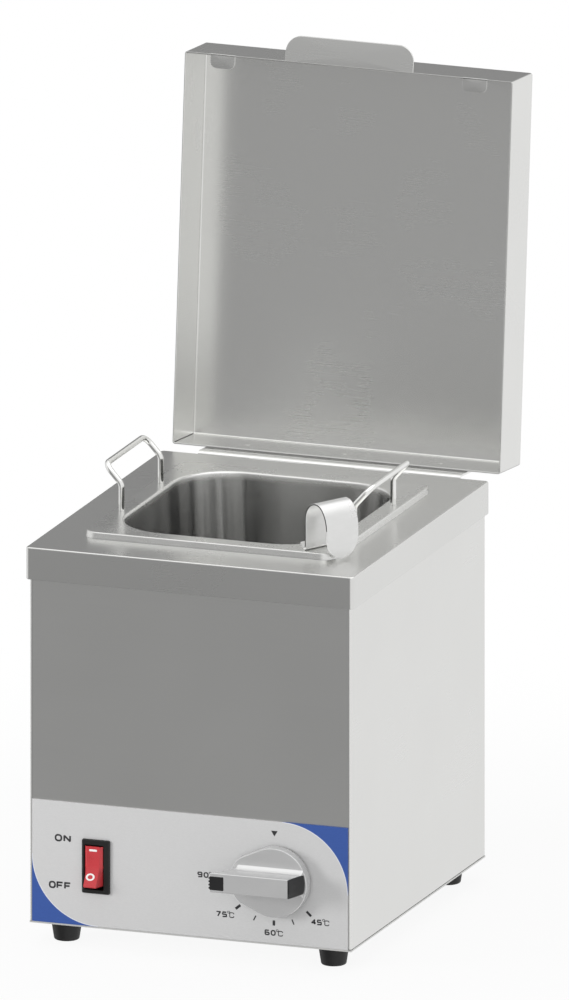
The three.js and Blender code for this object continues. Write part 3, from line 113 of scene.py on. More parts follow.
class Ends(Enum):
    """How the first and the last row of a grid end."""

    CAPPED = "both close onto their middle"
    CENTRED = "the first closes onto its middle"
    OPEN = "both stay open"
    JOINED = "the last joins the first"


def shade(code: str, factor: float = 1.0) -> Colour:
    """Turn a colour written as six hex digits into linear light, by the usual display curve.

    Args:
        code: The colour as it should look, such as "c8c8c8".
        factor: How much lighter or darker it is made, at most up to white.

    Returns:
        Red, green, blue and a full alpha.
    """
    parts = [int(code[place:place + 2], 16) / 255 for place in (0, 2, 4)]
    light = [part / 12.92 if part <= 0.04045 else ((part + 0.055) / 1.055) ** 2.4 for part in parts]
    red, green, blue = (min(part * factor, 1.0) for part in light)
    return red, green, blue, 1.0


class Graph:
    """Adds and links the nodes of one material or of the world."""

    def __init__(self, tree: bpy.types.NodeTree) -> None:
        """Start with an empty tree."""
        self.tree = tree
        tree.nodes.clear()

    def add(self, kind: str, values: dict | None = None, **settings: object) -> bpy.types.Node:
        """Add a node.

        Args:
            kind: The node's type name.
            values: Numbers, colours or output sockets for its inputs, by name or index.
            settings: Properties of the node itself.

        Returns:
            The new node.
        """
        node = self.tree.nodes.new(kind)
        for key, value in settings.items():
            setattr(node, key, value)
        for key, value in (values or {}).items():
            if isinstance(value, Socket):
                self.tree.links.new(value, node.inputs[key])
            else:
                node.inputs[key].default_value = value
        return node

    def place(self) -> Socket:
        """Return the place of a point in its object's own space."""
        return self.add("ShaderNodeTexCoord").outputs["Object"]

    def axes(self, vector: Socket) -> tuple[Socket, Socket, Socket]:
        """Return the three numbers of a vector."""
        split = self.add("ShaderNodeSeparateXYZ", {0: vector})
        return split.outputs["X"], split.outputs["Y"], split.outputs["Z"]

    def math(self, operation: str, first: object, second: object = 0.0) -> Socket:
        """Return the result of a sum on two values or sockets."""
        return self.add("ShaderNodeMath", {0: first, 1: second}, operation=operation).outputs[0]

    def between(self, share: object, first: object, second: object) -> Socket:
        """Return the first value moved towards the second by a share of their difference."""
        step = self.math("MULTIPLY", share, self.math("SUBTRACT", second, first))
        return self.math("ADD", first, step)

    def ranged(self, value: Socket, start: Pair, end: Pair = (0.0, 1.0),
               smooth: bool = False) -> Socket:
        """Move a value from one range to another and hold it at its ends.

        Args:
            value: The value.
            start: The range it comes from.
            end: The range it goes to.
            smooth: Whether it eases in and out.

        Returns:
            The moved value.
        """
        node = self.add("ShaderNodeMapRange", {
            "Value": value, "From Min": start[0], "From Max": start[1], "To Min": end[0],
            "To Max": end[1]})
        node.interpolation_type = "SMOOTHSTEP" if smooth else "LINEAR"
        return node.outputs[0]

    def toned(self, noise: Socket, low: float = 0.0, high: float = 1.0) -> Socket:
        """Return a noise stretched from its usual values to a range."""
        return self.ranged(noise, (NOISE_LOW, NOISE_HIGH), (low, high))

    def blend(self, factor: object, first: object, second: object) -> Socket:
        """Return a mix of two colours, which are the mix node's inputs six and seven."""
        node = self.add("ShaderNodeMix", {0: factor, 6: first, 7: second}, data_type="RGBA")
        return node.outputs[2]

    def tinted(self, tone: Socket, code: str, low: float, high: float) -> Socket:
        """Return a hex colour that a tone moves between a darker and a lighter factor."""
        return self.blend(tone, shade(code, low), shade(code, high))

    def stretched(self, scale: Triple | float, detail: float, roughness: float) -> Socket:
        """Make noise in the piece's own space.

        Args:
            scale: Its scale on each axis, or one for all.
            detail: How many finer layers it has.
            roughness: How strong each finer layer is.

        Returns:
            The noise's value.
        """
        spread = self.add("ShaderNodeMapping", {
            "Vector": self.place(), "Scale": tuple(np.broadcast_to(scale, 3))}).outputs[0]
        noise = self.add("ShaderNodeTexNoise", {
            "Vector": spread, "Scale": 1.0, "Detail": detail, "Roughness": roughness})
        return noise.outputs[0]

    def bump(self, height: Socket, strength: float, depth: float) -> Socket:
        """Return a normal raised by a height, with its depth in metres."""
        return self.add("ShaderNodeBump", {
            "Height": height, "Strength": strength, "Distance": depth}).outputs[0]


@dataclass(frozen=True)
class Finish:
    """A surface finish that becomes one procedural material.

    The colour is given as it should look. Each kind of finish adds its own grain.
    """

    name: str
    slot: Slot
    colour: str
    roughness: float

    def material(self) -> bpy.types.Material:
        """Return the material, made the first time it is asked for."""
        made = bpy.data.materials.get(self.name)
        if made is None:
            made = bpy.data.materials.new(self.name)
            made.use_nodes = True
            graph = Graph(made.node_tree)
            shader = graph.add("ShaderNodeBsdfPrincipled", self.look(graph))
            graph.add("ShaderNodeOutputMaterial", {0: shader.outputs[0]})
        return made

    def look(self, graph: Graph) -> dict[str, object]:
        """Return the shader's inputs. Each kind of finish works them out its own way."""
        raise NotImplementedError


@dataclass(frozen=True)
class BrushedSteel(Finish):
    """Stainless steel with a fine grain that runs one way.

    The grain is noise stretched along the brushing, with finer hair lines in it. It moves the
    colour, the roughness and a shallow bump. Smudges darken it in places. Bends carry a "bend"
    attribute, where the colour gets a painted highlight and the metal is a little smoother.
    """

    spread: float
    contrast: float
    relief: float
    grain: Triple = (9.0, 1500.0, 1500.0)
    hair_scale: float = 3.1
    hair_share: float = 0.35
    smudge_scale: float = 11.0
    smudge_most: float = 0.06
    smudge_shade: float = 0.80
    smudge_rough: Pair = (-0.01, 0.02)
    bend_highlight_share: float = 0.5
    bend_highlight_factor: float = 1.05
    bend_polish: float = 0.04

    def look(self, graph: Graph) -> dict[str, object]:
        """Brush and smudge the metal, and paint a highlight on its bends and smooth them."""
        streaks = graph.stretched(self.grain, 4.0, 0.62)
        hair = graph.stretched(tuple(self.hair_scale * part for part in self.grain), 2.0, 0.5)
        smudge = graph.stretched(self.smudge_scale, 3.0, 0.6)
        bend_highlight_and_polish = graph.add("ShaderNodeAttribute", attribute_name="bend").outputs["Fac"]
        lines = graph.math("ADD", graph.math("MULTIPLY", streaks, 1 - self.hair_share),
                           graph.math("MULTIPLY", hair, self.hair_share))
        plain = graph.tinted(graph.toned(lines), self.colour, 1 - self.contrast, 1 + self.contrast)
        cloud = graph.ranged(smudge, (0.35, 0.65), (0.0, self.smudge_most))
        aged = graph.blend(cloud, plain, shade(self.colour, self.smudge_shade))
        # Painted highlight: the colour is a little lighter where the mesh bends
        edge = graph.math("MULTIPLY", bend_highlight_and_polish, self.bend_highlight_share)
        rough = graph.toned(lines, self.roughness - self.spread, self.roughness + self.spread)
        soft = graph.math("ADD", rough, graph.ranged(smudge, (0.35, 0.7), self.smudge_rough))
        drop = graph.math("MULTIPLY", bend_highlight_and_polish, self.bend_polish)
        return {"Base Color": graph.blend(edge, aged, shade(self.colour, self.bend_highlight_factor)),
                "Roughness": graph.math("SUBTRACT", soft, drop),
                "Normal": graph.bump(lines, self.relief, STEEL_RELIEF), "Metallic": 1.0}


@dataclass(frozen=True)
class PolishedSteel(Finish):
    """Bright stainless steel with faint polishing marks and a slight haze.

    Below a height in metres, where one is given, the surface is darker and as smooth as given,
    and the rest is rougher by the satin.
    """

    drawn: Triple = (60.0, 60.0, 400.0)
    darker_below: float = 0.0
    darker_fade: float = 0.003
    darker_colour: str = "d5d5d4"
    satin: float = 0.0
    metal: float = 1.0
    relief: float = 0.006
    haze_scale: float = 28.0
    haze_rough: float = 0.06
    marks_rough: float = 0.01
    marks_contrast: float = 0.015

    def look(self, graph: Graph) -> dict[str, object]:
        """Polish the metal, then haze it."""
        marks = graph.stretched(self.drawn, 3.0, 0.6)
        haze = graph.stretched(self.haze_scale, 4.0, 0.6)
        tone = graph.ranged(marks, (0.35, 0.65))
        colour = graph.tinted(tone, self.colour, 1 - self.marks_contrast, 1 + self.marks_contrast)
        hazed = graph.ranged(haze, (0.4, 0.7), (self.roughness, self.roughness + self.haze_rough))
        rough = graph.math("ADD", graph.toned(marks, -self.marks_rough, self.marks_rough), hazed)
        if self.darker_below:
            height = graph.axes(graph.place())[2]
            fade = (self.darker_below - self.darker_fade, self.darker_below)
            flat = graph.ranged(height, fade, smooth=True)
            colour = graph.blend(flat, shade(self.darker_colour), colour)
            rough = graph.math("ADD", rough, graph.math("MULTIPLY", flat, self.satin))
        return {"Base Color": colour, "Roughness": rough, "Metallic": self.metal,
                "Normal": graph.bump(marks, self.relief, STEEL_RELIEF)}


@dataclass(frozen=True)
class PrintedPlate(Finish):
    """Silver sheet with two blue corners printed on it.

    A corner is blue where it lies outside a circle that touches two edges of the plate. A pale
    line follows the circle.
    """

    blue: str = "3456a0"
    pale: str = "e2e4ea"
    radius: float = 42.0
    right: Pair = (59.1, 48.3)
    left: Pair = (-59.1, 56.3)
    outline: float = 0.45
    blur: float = 0.08
    spread: float = 0.06

    def look(self, graph: Graph) -> dict[str, object]:
        """Print the corners over a fine grain."""
        across, _, up = graph.axes(graph.place())
        grain = graph.stretched((700.0, 700.0, 2600.0), 3.0, 0.6)
        tone = graph.toned(grain)
        colour = graph.tinted(tone, self.colour, 0.97, 1.02)
        ink = graph.tinted(tone, self.blue, 0.95, 1.06)
        for (x, z), sense in ((self.right, 1.0), (self.left, -1.0)):
            right = graph.math("MULTIPLY", graph.math("SUBTRACT", across, x * MM), sense)
            above = graph.math("MULTIPLY", graph.math("SUBTRACT", up, z * MM), sense)
            square = graph.math("ADD", graph.math("MULTIPLY", right, right),
                                graph.math("MULTIPLY", above, above))
            reach = graph.math("SQRT", square)
            corner = graph.math("MULTIPLY", graph.math("GREATER_THAN", right, 0.0),
                                graph.math("GREATER_THAN", above, 0.0))
            for start, paint in ((self.radius - self.outline, shade(self.pale)),
                                 (self.radius, ink)):
                edge = graph.ranged(reach, ((start - self.blur) * MM, (start + self.blur) * MM))
                colour = graph.blend(graph.math("MULTIPLY", edge, corner), colour, paint)
        rough = graph.toned(grain, self.roughness - self.spread, self.roughness + self.spread)
        return {"Base Color": colour, "Roughness": rough,
                "Normal": graph.bump(grain, 0.05, SKIN_RELIEF)}


@dataclass(frozen=True)
class Moulded(Finish):
    """Moulded plastic, rubber or ink with a fine skin and a little unevenness."""

    grain: float = 2600.0
    relief: float = 0.12
    spread: float = 0.06
    contrast: float = 0.06
    metal: float = 0.0
    flow_scale: Triple = (40.0, 40.0, 90.0)
    flow_rough: float = 0.03

    def look(self, graph: Graph) -> dict[str, object]:
        """Give the moulding its skin."""
        skin = graph.stretched(self.grain, 3.0, 0.6)
        flow = graph.stretched(self.flow_scale, 3.0, 0.55)
        uneven = graph.toned(flow, self.roughness - self.flow_rough,
                             self.roughness + self.flow_rough)
        return {"Base Color": graph.tinted(graph.toned(flow), self.colour, 1 - self.contrast,
                                           1 + self.contrast),
                "Roughness": graph.math("ADD", graph.toned(skin, -self.spread, self.spread), uneven),
                "Normal": graph.bump(skin, self.relief, SKIN_RELIEF), "Metallic": self.metal}


@dataclass(frozen=True)
class ZincPlate(Finish):
    """Zinc-plated steel: cells of slightly different brightness under a soft haze."""

    cells: float = 900.0
    cell_rough: float = 0.05
    haze_scale: float = 300.0
    haze_rough: float = 0.1

    def look(self, graph: Graph) -> dict[str, object]:
        """Lay the spangle of the plating."""
        cells = graph.add("ShaderNodeTexVoronoi", {"Vector": graph.place(), "Scale": self.cells})
        haze = graph.stretched(self.haze_scale, 3.0, 0.6)
        cell = graph.add("ShaderNodeSeparateColor", {0: cells.outputs["Color"]}).outputs[0]
        hazed = graph.toned(haze, self.roughness, self.roughness + self.haze_rough)
        patchy = graph.ranged(cell, (0.0, 1.0), (-self.cell_rough, self.cell_rough))
        return {"Base Color": graph.tinted(cell, self.colour, 0.88, 1.05),
                "Roughness": graph.math("ADD", patchy, hazed),
                "Normal": graph.bump(haze, 0.1, SKIN_RELIEF), "Metallic": 1.0}


@dataclass(frozen=True)
class Fibre(Finish):
    """Pressed mineral wool: matted fibres with darker flecks."""

    fibre_scale: Triple = (260.0, 900.0, 500.0)
    tuft_scale: float = 90.0
    spread: float = 0.05

    def look(self, graph: Graph) -> dict[str, object]:
        """Mat the fibres."""
        fibres = graph.stretched(self.fibre_scale, 5.0, 0.7)
        tufts = graph.stretched(self.tuft_scale, 4.0, 0.65)
        rough = graph.ranged(fibres, (0.2, 0.8), (self.roughness - self.spread, self.roughness))
        return {"Base Color": graph.tinted(graph.toned(fibres), self.colour, 0.72, 1.05),
                "Roughness": rough,
                "Normal": graph.bump(graph.math("ADD", fibres, tufts), 0.7, TUFT_RELIEF)}


PANEL_STEEL = BrushedSteel("panel_steel", Slot.BRUSHED, "e6e6e4", 0.30, spread=0.012,
                           contrast=0.005, relief=0.004, grain=(7.0, 7.0, 1100.0))
COVER_STEEL = BrushedSteel("cover_steel", Slot.BRUSHED, "e3e3e1", 0.28, spread=0.002,
                           contrast=0.002, relief=0.0012)
LID_STEEL = BrushedSteel("lid_steel", Slot.BRUSHED, "e9e9e7", 0.26, spread=0.006,
                         contrast=0.005, relief=0.006)
HINGE_STEEL = PolishedSteel("hinge_steel", Slot.BRUSHED, "f0f0ee", 0.14)
PAN_STEEL = PolishedSteel("pan_steel", Slot.POLISHED, "e4e4e2", 0.14, darker_below=0.2485,
                          satin=0.12)
WIRE_STEEL = PolishedSteel("wire_steel", Slot.POLISHED, "f2f2f0", 0.07, drawn=(150.0, 150.0, 150.0))
LADLE_STEEL = PolishedSteel("ladle_steel", Slot.POLISHED, "f0f0ef", 0.22,
                            drawn=(90.0, 90.0, 500.0), metal=0.52)
# Painted dark reflection, laid as a thin line along the ladle's edges
EDGE_REFLECTION_PAINT = PolishedSteel("painted_edge_reflection", Slot.POLISHED, "4a4a48", 0.34)
BASE_STEEL = PolishedSteel("base_steel", Slot.BRUSHED, "e0e0de", 0.34, metal=0.45)
PLATE_PRINT = PrintedPlate("plate_print", Slot.PLATE, "cdcdcd", 0.42)
PRINT_INK = Moulded("print_ink", Slot.PLATE, "2e2e30", 0.5)
KNOB_SILVER = Moulded("knob_silver", Slot.SILVER, "e1e1e1", 0.20, relief=0.015, spread=0.02,
                      contrast=0.015, metal=0.60)
SWITCH_BLACK = Moulded("switch_black", Slot.BLACK, "161615", 0.45)
INLAY_BLACK = Moulded("inlay_black", Slot.BLACK, "1a1a1b", 0.45)
ROCKER_RED = Moulded("rocker_red", Slot.RED, "c4383e", 0.30, relief=0.05)
MARK_WHITE = Moulded("mark_white", Slot.RED, "f2f2f0", 0.45, relief=0.04)
FOOT_RUBBER = Moulded("foot_rubber", Slot.RUBBER, "131313", 0.55, grain=1800.0, relief=0.2)
ZINC_STEEL = ZincPlate("zinc_steel_plate", Slot.ZINC, "b9b7b0", 0.36)
WOOL = Fibre("pressed_wool", Slot.BLANKET, "e4e0d4", 0.95)


@dataclass
class Surface:
    """Points and faces gathered for one mesh, with the share of bend at each point."""

    points: list[Array] = field(default_factory=list)
    faces: list[tuple[int, ...]] = field(default_factory=list)
    bends: list[Array] = field(default_factory=list)
    count: int = 0

    def grid(self, points: Array, ends: Ends = Ends.CAPPED, wrap_columns: bool = True,
             bend: Array | None = None) -> "Surface":
        """Add a grid of points as quads.

        Args:
            points: Rows by columns by three coordinates.
            ends: How its first and last row end.
            wrap_columns: Whether the last column joins the first.
            bend: The share of bend of each row, or nothing where the grid has none.

        Returns:
            This surface, so that calls can follow on.
        """
        rows, columns = points.shape[:2]
        down = np.arange(rows if ends is Ends.JOINED else rows - 1)
        along = np.arange(columns if wrap_columns else columns - 1)
        row, column = np.meshgrid(down, along, indexing="ij")
        next_row, next_column = (row + 1) % rows, (column + 1) % columns
        quads = np.stack([row * columns + column, next_row * columns + column,
                          next_row * columns + next_column, row * columns + next_column], -1)
        self.faces.extend(map(tuple, (quads.reshape(-1, 4) + self.count).tolist()))
        share = np.zeros(rows) if bend is None else np.asarray(bend, float)
        self.points.append(points.reshape(-1, 3))
        self.bends.append(np.repeat(share, columns))
        start = self.count
        self.count += rows * columns
        capped = {Ends.CAPPED: (0, rows - 1), Ends.CENTRED: (0,)}.get(ends, ())
        for index in capped:
            ring = start + index * columns + np.arange(columns)
            fan = np.stack([ring, np.roll(ring, -1), np.full(columns, self.count)], -1)
            self.faces.extend(map(tuple, fan.tolist()))
            self.points.append(points[index].mean(axis=0)[None])
            self.bends.append(np.zeros(1))
            self.count += 1
        return self


def quarter(steps: int) -> Array:
    """Return even angles from nought to a right angle, both ends counted."""
    return np.linspace(0.0, math.pi / 2, steps + 1)


def turned(first: Array, second: Array, angle: float) -> tuple[Array, Array]:
    """Return two coordinates turned through an angle in radians."""
    return (first * math.cos(angle) - second * math.sin(angle),
            first * math.sin(angle) + second * math.cos(angle))


@dataclass(frozen=True)
class Hull:
    """The outline round a set of circles, which is a plan that can grow or shrink evenly.

    Each circle owns the stretch of directions between two angles. A point of the outline is the
    circle's centre plus its radius along the direction. A radius never shrinks under the least.
    """

    centres: Array
    radii: Array
    turns: Array
    steps: int
    least: float = 0.02

    def ring(self, grow: Array, height: Array) -> Array:
        """Return loops of the outline.

        Args:
            grow: How far each loop stands outside the outline, or inside where negative.
            height: The height of each loop.

        Returns:
            Loops by points by three coordinates.
        """
        share = np.linspace(0.0, 1.0, self.steps + 1)
        angles = self.turns[:-1, None] + np.diff(self.turns)[:, None] * share
        way = np.stack([np.cos(angles), np.sin(angles)], -1)
        radius = np.maximum(self.radii[None, :] + np.asarray(grow)[:, None], self.least)
        plan = self.centres[None, :, None, :] + radius[:, :, None, None] * way[None]
        plan = plan.reshape(len(radius), -1, 2)
        tall = np.broadcast_to(np.asarray(height, float)[:, None, None], plan.shape[:2] + (1,))
        return np.concatenate([plan, tall], -1)


def box_rings(width: Array, depth: Array, radius: Array, height: Array, steps: int) -> Array:
    """Return loops of rounded rectangles about the origin.

    A point is a corner's centre plus the corner radius along a direction that turns through a
    right angle at each of the four corners.

    Args:
        width: Full width of each loop.
        depth: Full depth of each loop.
        radius: Corner radius of each loop.
        height: Height of each loop.
        steps: Steps in each corner.

    Returns:
        Loops by points by three coordinates.
    """
    width, depth, radius, height = np.broadcast_arrays(
        *(np.asarray(part, float) for part in (width, depth, radius, height)))
    sides = np.array([[1, 1], [-1, 1], [-1, -1], [1, -1]], float)
    angle = (np.arange(4)[:, None] * math.pi / 2 + quarter(steps)[None]).reshape(-1)
    corner = np.repeat(sides, steps + 1, axis=0)
    x = corner[:, 0] * (width / 2 - radius)[:, None] + radius[:, None] * np.cos(angle)
    y = corner[:, 1] * (depth / 2 - radius)[:, None] + radius[:, None] * np.sin(angle)
    return np.stack([x, y, np.broadcast_to(height[:, None], x.shape)], -1)


@dataclass
class LoopStack:
    """Loops of a shell, each drawn in evenly from one rounded rectangle.

    A loop's width and depth are the rectangle's less twice its inset. Its corner radius is the
    rectangle's less the inset, unless another is given, and never under the least.
    """

    width: float
    depth: float
    corner: float
    least: float = 0.15
    rows: list[list[float]] = field(default_factory=list)

    def loop(self, inset: float, height: float, bend: float = 0.0,
             corner: float | None = None) -> None:
        """Note one loop.

        Args:
            inset: How far it is drawn in, or out where negative.
            height: Its height.
            bend: Its share of bend.
            corner: Its corner radius, where the inset doesn't give it.
        """
        radius = self.corner - inset if corner is None else corner
        self.rows.append([self.width - 2 * inset, self.depth - 2 * inset,
                          max(radius, self.least), height, bend])

    def edge(self, inset: float, top: float, radius: float, steps: int,
             upward: bool = False) -> None:
        """Turn a quarter circle between level at the top and upright at the side.

        Args:
            inset: Inset of its upright end.
            top: Height of its level end.
            radius: Its radius.
            steps: Steps in the turn.
            upward: Whether it goes from the side to the top.
        """
        angles = quarter(steps)
        for angle in angles[::-1] if upward else angles:
            self.loop(inset + radius * (1 - math.sin(angle)), top - radius * (1 - math.cos(angle)),
                      math.sin(2 * angle))


def stacked(rows: list[list[float]], steps: int) -> tuple[Array, Array]:
    """Return the rings of noted loops and the share of bend of each."""
    table = np.array(rows)
    return box_rings(*table[:, :4].T, steps), table[:, 4]


def rounded_path(corners: Array, radius: float | Array, steps: int) -> Array:
    """Return a line through corner points with each inner corner turned on a true arc.

    Args:
        corners: Corner points, one a row.
        radius: Radius of the arcs, or one radius for each inner corner.
        steps: Steps in each arc.

    Returns:
        The points of the line.
    """
    corners = np.asarray(corners, float)
    before = corners[:-2] - corners[1:-1]
    after = corners[2:] - corners[1:-1]
    before /= np.linalg.norm(before, axis=1, keepdims=True)
    after /= np.linalg.norm(after, axis=1, keepdims=True)
    half = np.arccos(np.clip((before * after).sum(1), -1.0, 1.0)) / 2
    middle = before + after
    middle /= np.linalg.norm(middle, axis=1, keepdims=True)
    centre = corners[1:-1] + middle * (radius / np.sin(half))[:, None]
    start = corners[1:-1] + before * (radius / np.tan(half))[:, None] - centre
    side = corners[1:-1] + after * (radius / np.tan(half))[:, None] - centre
    turn = (math.pi - 2 * half)[:, None, None]
    share = np.linspace(0.0, 1.0, steps + 1)[None, :, None]
    bow = np.sin((1 - share) * turn) * start[:, None] + np.sin(share * turn) * side[:, None]
    bow = bow / np.sin(turn) + centre[:, None]
    return np.concatenate([corners[:1], bow.reshape(-1, corners.shape[1]), corners[-1:]])


def tangents(path: Array) -> Array:
    """Return the unit direction of a path at each of its points, the mean of its two steps."""
    run = np.diff(path, axis=0)
    run /= np.maximum(np.linalg.norm(run, axis=1, keepdims=True), 1e-9)
    way = np.concatenate([run[:1], run[:-1] + run[1:], run[-1:]])
    return way / np.linalg.norm(way, axis=1, keepdims=True)


def sweep(path: Array, section: Array, binormal: Array) -> Array:
    """Carry a section along a path.

    A point is the path's point plus the section's first number along the side of the path and
    its second along the given binormal, made square to the path.

    Args:
        path: Points of the path.
        section: Section points, shared by all steps or one set a step.
        binormal: A direction that the path never runs along.

    Returns:
        Steps by section points by three coordinates.
    """
    way = tangents(path)
    up = binormal - (way @ binormal)[:, None] * way
    up /= np.linalg.norm(up, axis=1, keepdims=True)
    side = np.cross(up, way)
    if section.ndim == 2:
        section = np.broadcast_to(section, (len(path),) + section.shape)
    return path[:, None] + section[..., :1] * side[:, None] + section[..., 1:] * up[:, None]


def slab_section(half_thickness: float, half_width: Array, edge: float, steps: int) -> Array:
    """Return sections of flat strip whose two edges are half ellipses.

    Args:
        half_thickness: Half the strip's thickness.
        half_width: Half its width in each section.
        edge: How far an edge bulges.
        steps: Steps round each edge.

    Returns:
        Sections by points by thickness and width.
    """
    angle = np.linspace(-math.pi / 2, math.pi / 2, steps + 1)
    thick = half_thickness * np.sin(angle)
    round_off = edge * (np.cos(angle) - 1)
    half_width = np.atleast_1d(np.asarray(half_width, float))[:, None]
    right = np.stack([np.broadcast_to(thick, (len(half_width), steps + 1)),
                      np.maximum(half_width + round_off, 0.01)], -1)
    left = right[:, ::-1] * np.array([1.0, -1.0])
    return np.concatenate([right, left], 1)


def circle(sides: int) -> Array:
    """Return points of a circle of radius one."""
    angle = np.linspace(0.0, 2 * math.pi, sides, endpoint=False)
    return np.stack([np.cos(angle), np.sin(angle)], -1)


def lathe(profile: Array, sides: int) -> Array:
    """Return a profile of radius and height turned about Z, one loop a profile point."""
    profile = np.asarray(profile, float)
    plan = profile[:, None, :1] * circle(sides)
    return np.concatenate([plan, np.broadcast_to(profile[:, None, 1:], plan.shape[:2] + (1,))], -1)


def arc(x: float, y: float, radius: float, start: float, end: float, steps: int) -> Array:
    """Return points of an arc about a point in a plane, its two angles in degrees."""
    angle = np.radians(np.linspace(start, end, steps + 1))
    return np.stack([x + radius * np.cos(angle), y + radius * np.sin(angle)], -1)


def to_front(points: Array, x: float, y: float, z: float) -> Array:
    """Lay a plan so that its height points to the front, with its origin at a place."""
    return np.stack([points[..., 0] + x, y - points[..., 2], points[..., 1] + z], -1)


@dataclass
class Workshop:
    """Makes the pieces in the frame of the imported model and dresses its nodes."""

    nodes: dict[str, bpy.types.Object]
    shift: float
    pieces: int = 0

    def piece(self, name: str, surface: Surface, finish: Finish, body: Body,
              replaces: tuple[str, ...] = (), crease: float = 40.0) -> None:
        """Make one piece and put it on its body.

        Args:
            name: Name of the piece.
            surface: Its points and faces in millimetres.
            finish: Its finish.
            body: The body that it rides on.
            replaces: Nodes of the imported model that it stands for.
            crease: Angle in degrees from which an edge is sharp.
        """
        points = np.concatenate(surface.points)
        points[:, 1] += self.shift
        mesh = bpy.data.meshes.new(name)
        mesh.from_pydata((points * MM).tolist(), [], surface.faces)
        # The bend share marks where brushed steel gets its painted highlight
        mesh.attributes.new("bend", "FLOAT", "POINT").data.foreach_set(
            "value", np.concatenate(surface.bends).astype(np.float32))
        work = bmesh.new()
        work.from_mesh(mesh)
        bmesh.ops.remove_doubles(work, verts=work.verts, dist=MERGE_METRES)
        bmesh.ops.recalc_face_normals(work, faces=work.faces)
        work.to_mesh(mesh)
        work.free()
        mesh.polygons.foreach_set("use_smooth", np.ones(len(mesh.polygons), bool))
        mesh.set_sharp_from_angle(angle=math.radians(crease))
        made = bpy.data.objects.new(name, mesh)
        bpy.context.scene.collection.objects.link(made)
        mesh.materials.append(finish.material())
        flat = made.modifiers.new("flat_faces", "WEIGHTED_NORMAL")
        flat.keep_sharp = True
        flat.weight = FLAT_WEIGHT
        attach(made, body.value)
        if replaces:
            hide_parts(*replaces)
        self.pieces += 1
        LOG.info("%s: %d points on %s", name, len(mesh.vertices), body.value)

    def dress(self, finish: Finish, *names: str) -> None:
        """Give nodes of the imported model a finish."""
        for name in names:
            for holder in self.nodes[name].material_slots:
                holder.material = finish.material()


@dataclass
class Cover:
    """Top cover: a cap with softly bent edges and a rounded opening."""

    width: float = 210.0
    depth: float = 240.0
    corner: float = 2.5
    top: float = 247.0
    skirt: float = 20.0
    sheet: float = 1.0
    bend: float = 0.9
    opening: Triple = (147.0, 161.0, 36.0)
    opening_edge: float = 0.25
    flat_margin: float = 1.0
    hem: Pair = (0.2, 0.3)
    inner_bend: float = 0.4

    def build(self, shop: Workshop) -> None:
        """Make the cover as one closed shell of loops, from the opening out, down and back."""
        hole = LoopStack(*self.opening)
        hole.loop(0.0, self.top - self.sheet)
        hole.loop(0.0, self.top - self.opening_edge)
        hole.loop(-self.opening_edge, self.top, 1.0)
        hole.loop(-3 * self.opening_edge, self.top)
        cap = LoopStack(self.width, self.depth, self.corner)
        cap.loop(self.bend + self.flat_margin, self.top)
        cap.edge(0.0, self.top, self.bend, 5)
        low = self.top - self.skirt
        draw, rise = self.hem
        cap.loop(0.0, low + rise)
        cap.loop(draw, low, 0.6, corner=self.corner)
        cap.loop(self.sheet - draw, low)
        cap.loop(self.sheet, low + rise)
        under = self.top - self.sheet
        cap.loop(self.sheet, under - self.inner_bend)
        cap.loop(self.sheet + self.inner_bend, under, corner=self.inner_bend)
        rings, bend = stacked(hole.rows + cap.rows, 6)
        shop.piece("cover_shell", Surface().grid(rings, Ends.JOINED, bend=bend), COVER_STEEL,
                   Body.CASING, ("top_cover",))


@dataclass
class Casing:
    """Casing: one sheet bent round the sides and the back, with narrow returns at the front."""

    half_width: float = 103.0
    half_depth: float = 118.0
    returned: float = 1.85
    low: float = 14.3
    high: float = 245.7
    sheet: float = 1.0
    bend: float = 0.95
    bend_steps: int = 6
    bend_fade: float = 0.3
    cut_edge: float = 0.25

    def build(self, shop: Workshop) -> None:
        """Sweep the tall thin section of the sheet round its plan, then dress the flat parts."""
        x = self.half_width - self.sheet / 2
        y = self.half_depth - self.sheet / 2
        end = self.half_width - self.returned
        middle = (self.low + self.high) / 2
        plan = [[-end, -y], [-x, -y], [-x, y], [x, y], [x, -y], [end, -y]]
        corners = np.column_stack([plan, np.full(len(plan), middle)])
        path = rounded_path(corners, self.bend, self.bend_steps)
        section = slab_section(self.sheet / 2, (self.high - self.low) / 2, self.cut_edge, 4)[0]
        swell = np.sin(np.linspace(self.bend_fade, math.pi - self.bend_fade, self.bend_steps + 1))
        bend = np.zeros(len(path))
        bend[1:-1] = np.tile(swell, len(plan) - 2)
        surface = Surface().grid(sweep(path, section, UP), bend=bend)
        shop.piece("casing_wrap", surface, PANEL_STEEL, Body.CASING, ("casing",))
        shop.dress(PANEL_STEEL, "front_panel")
        shop.dress(BASE_STEEL, "base_plate")
        shop.dress(PLATE_PRINT, "control_plate")


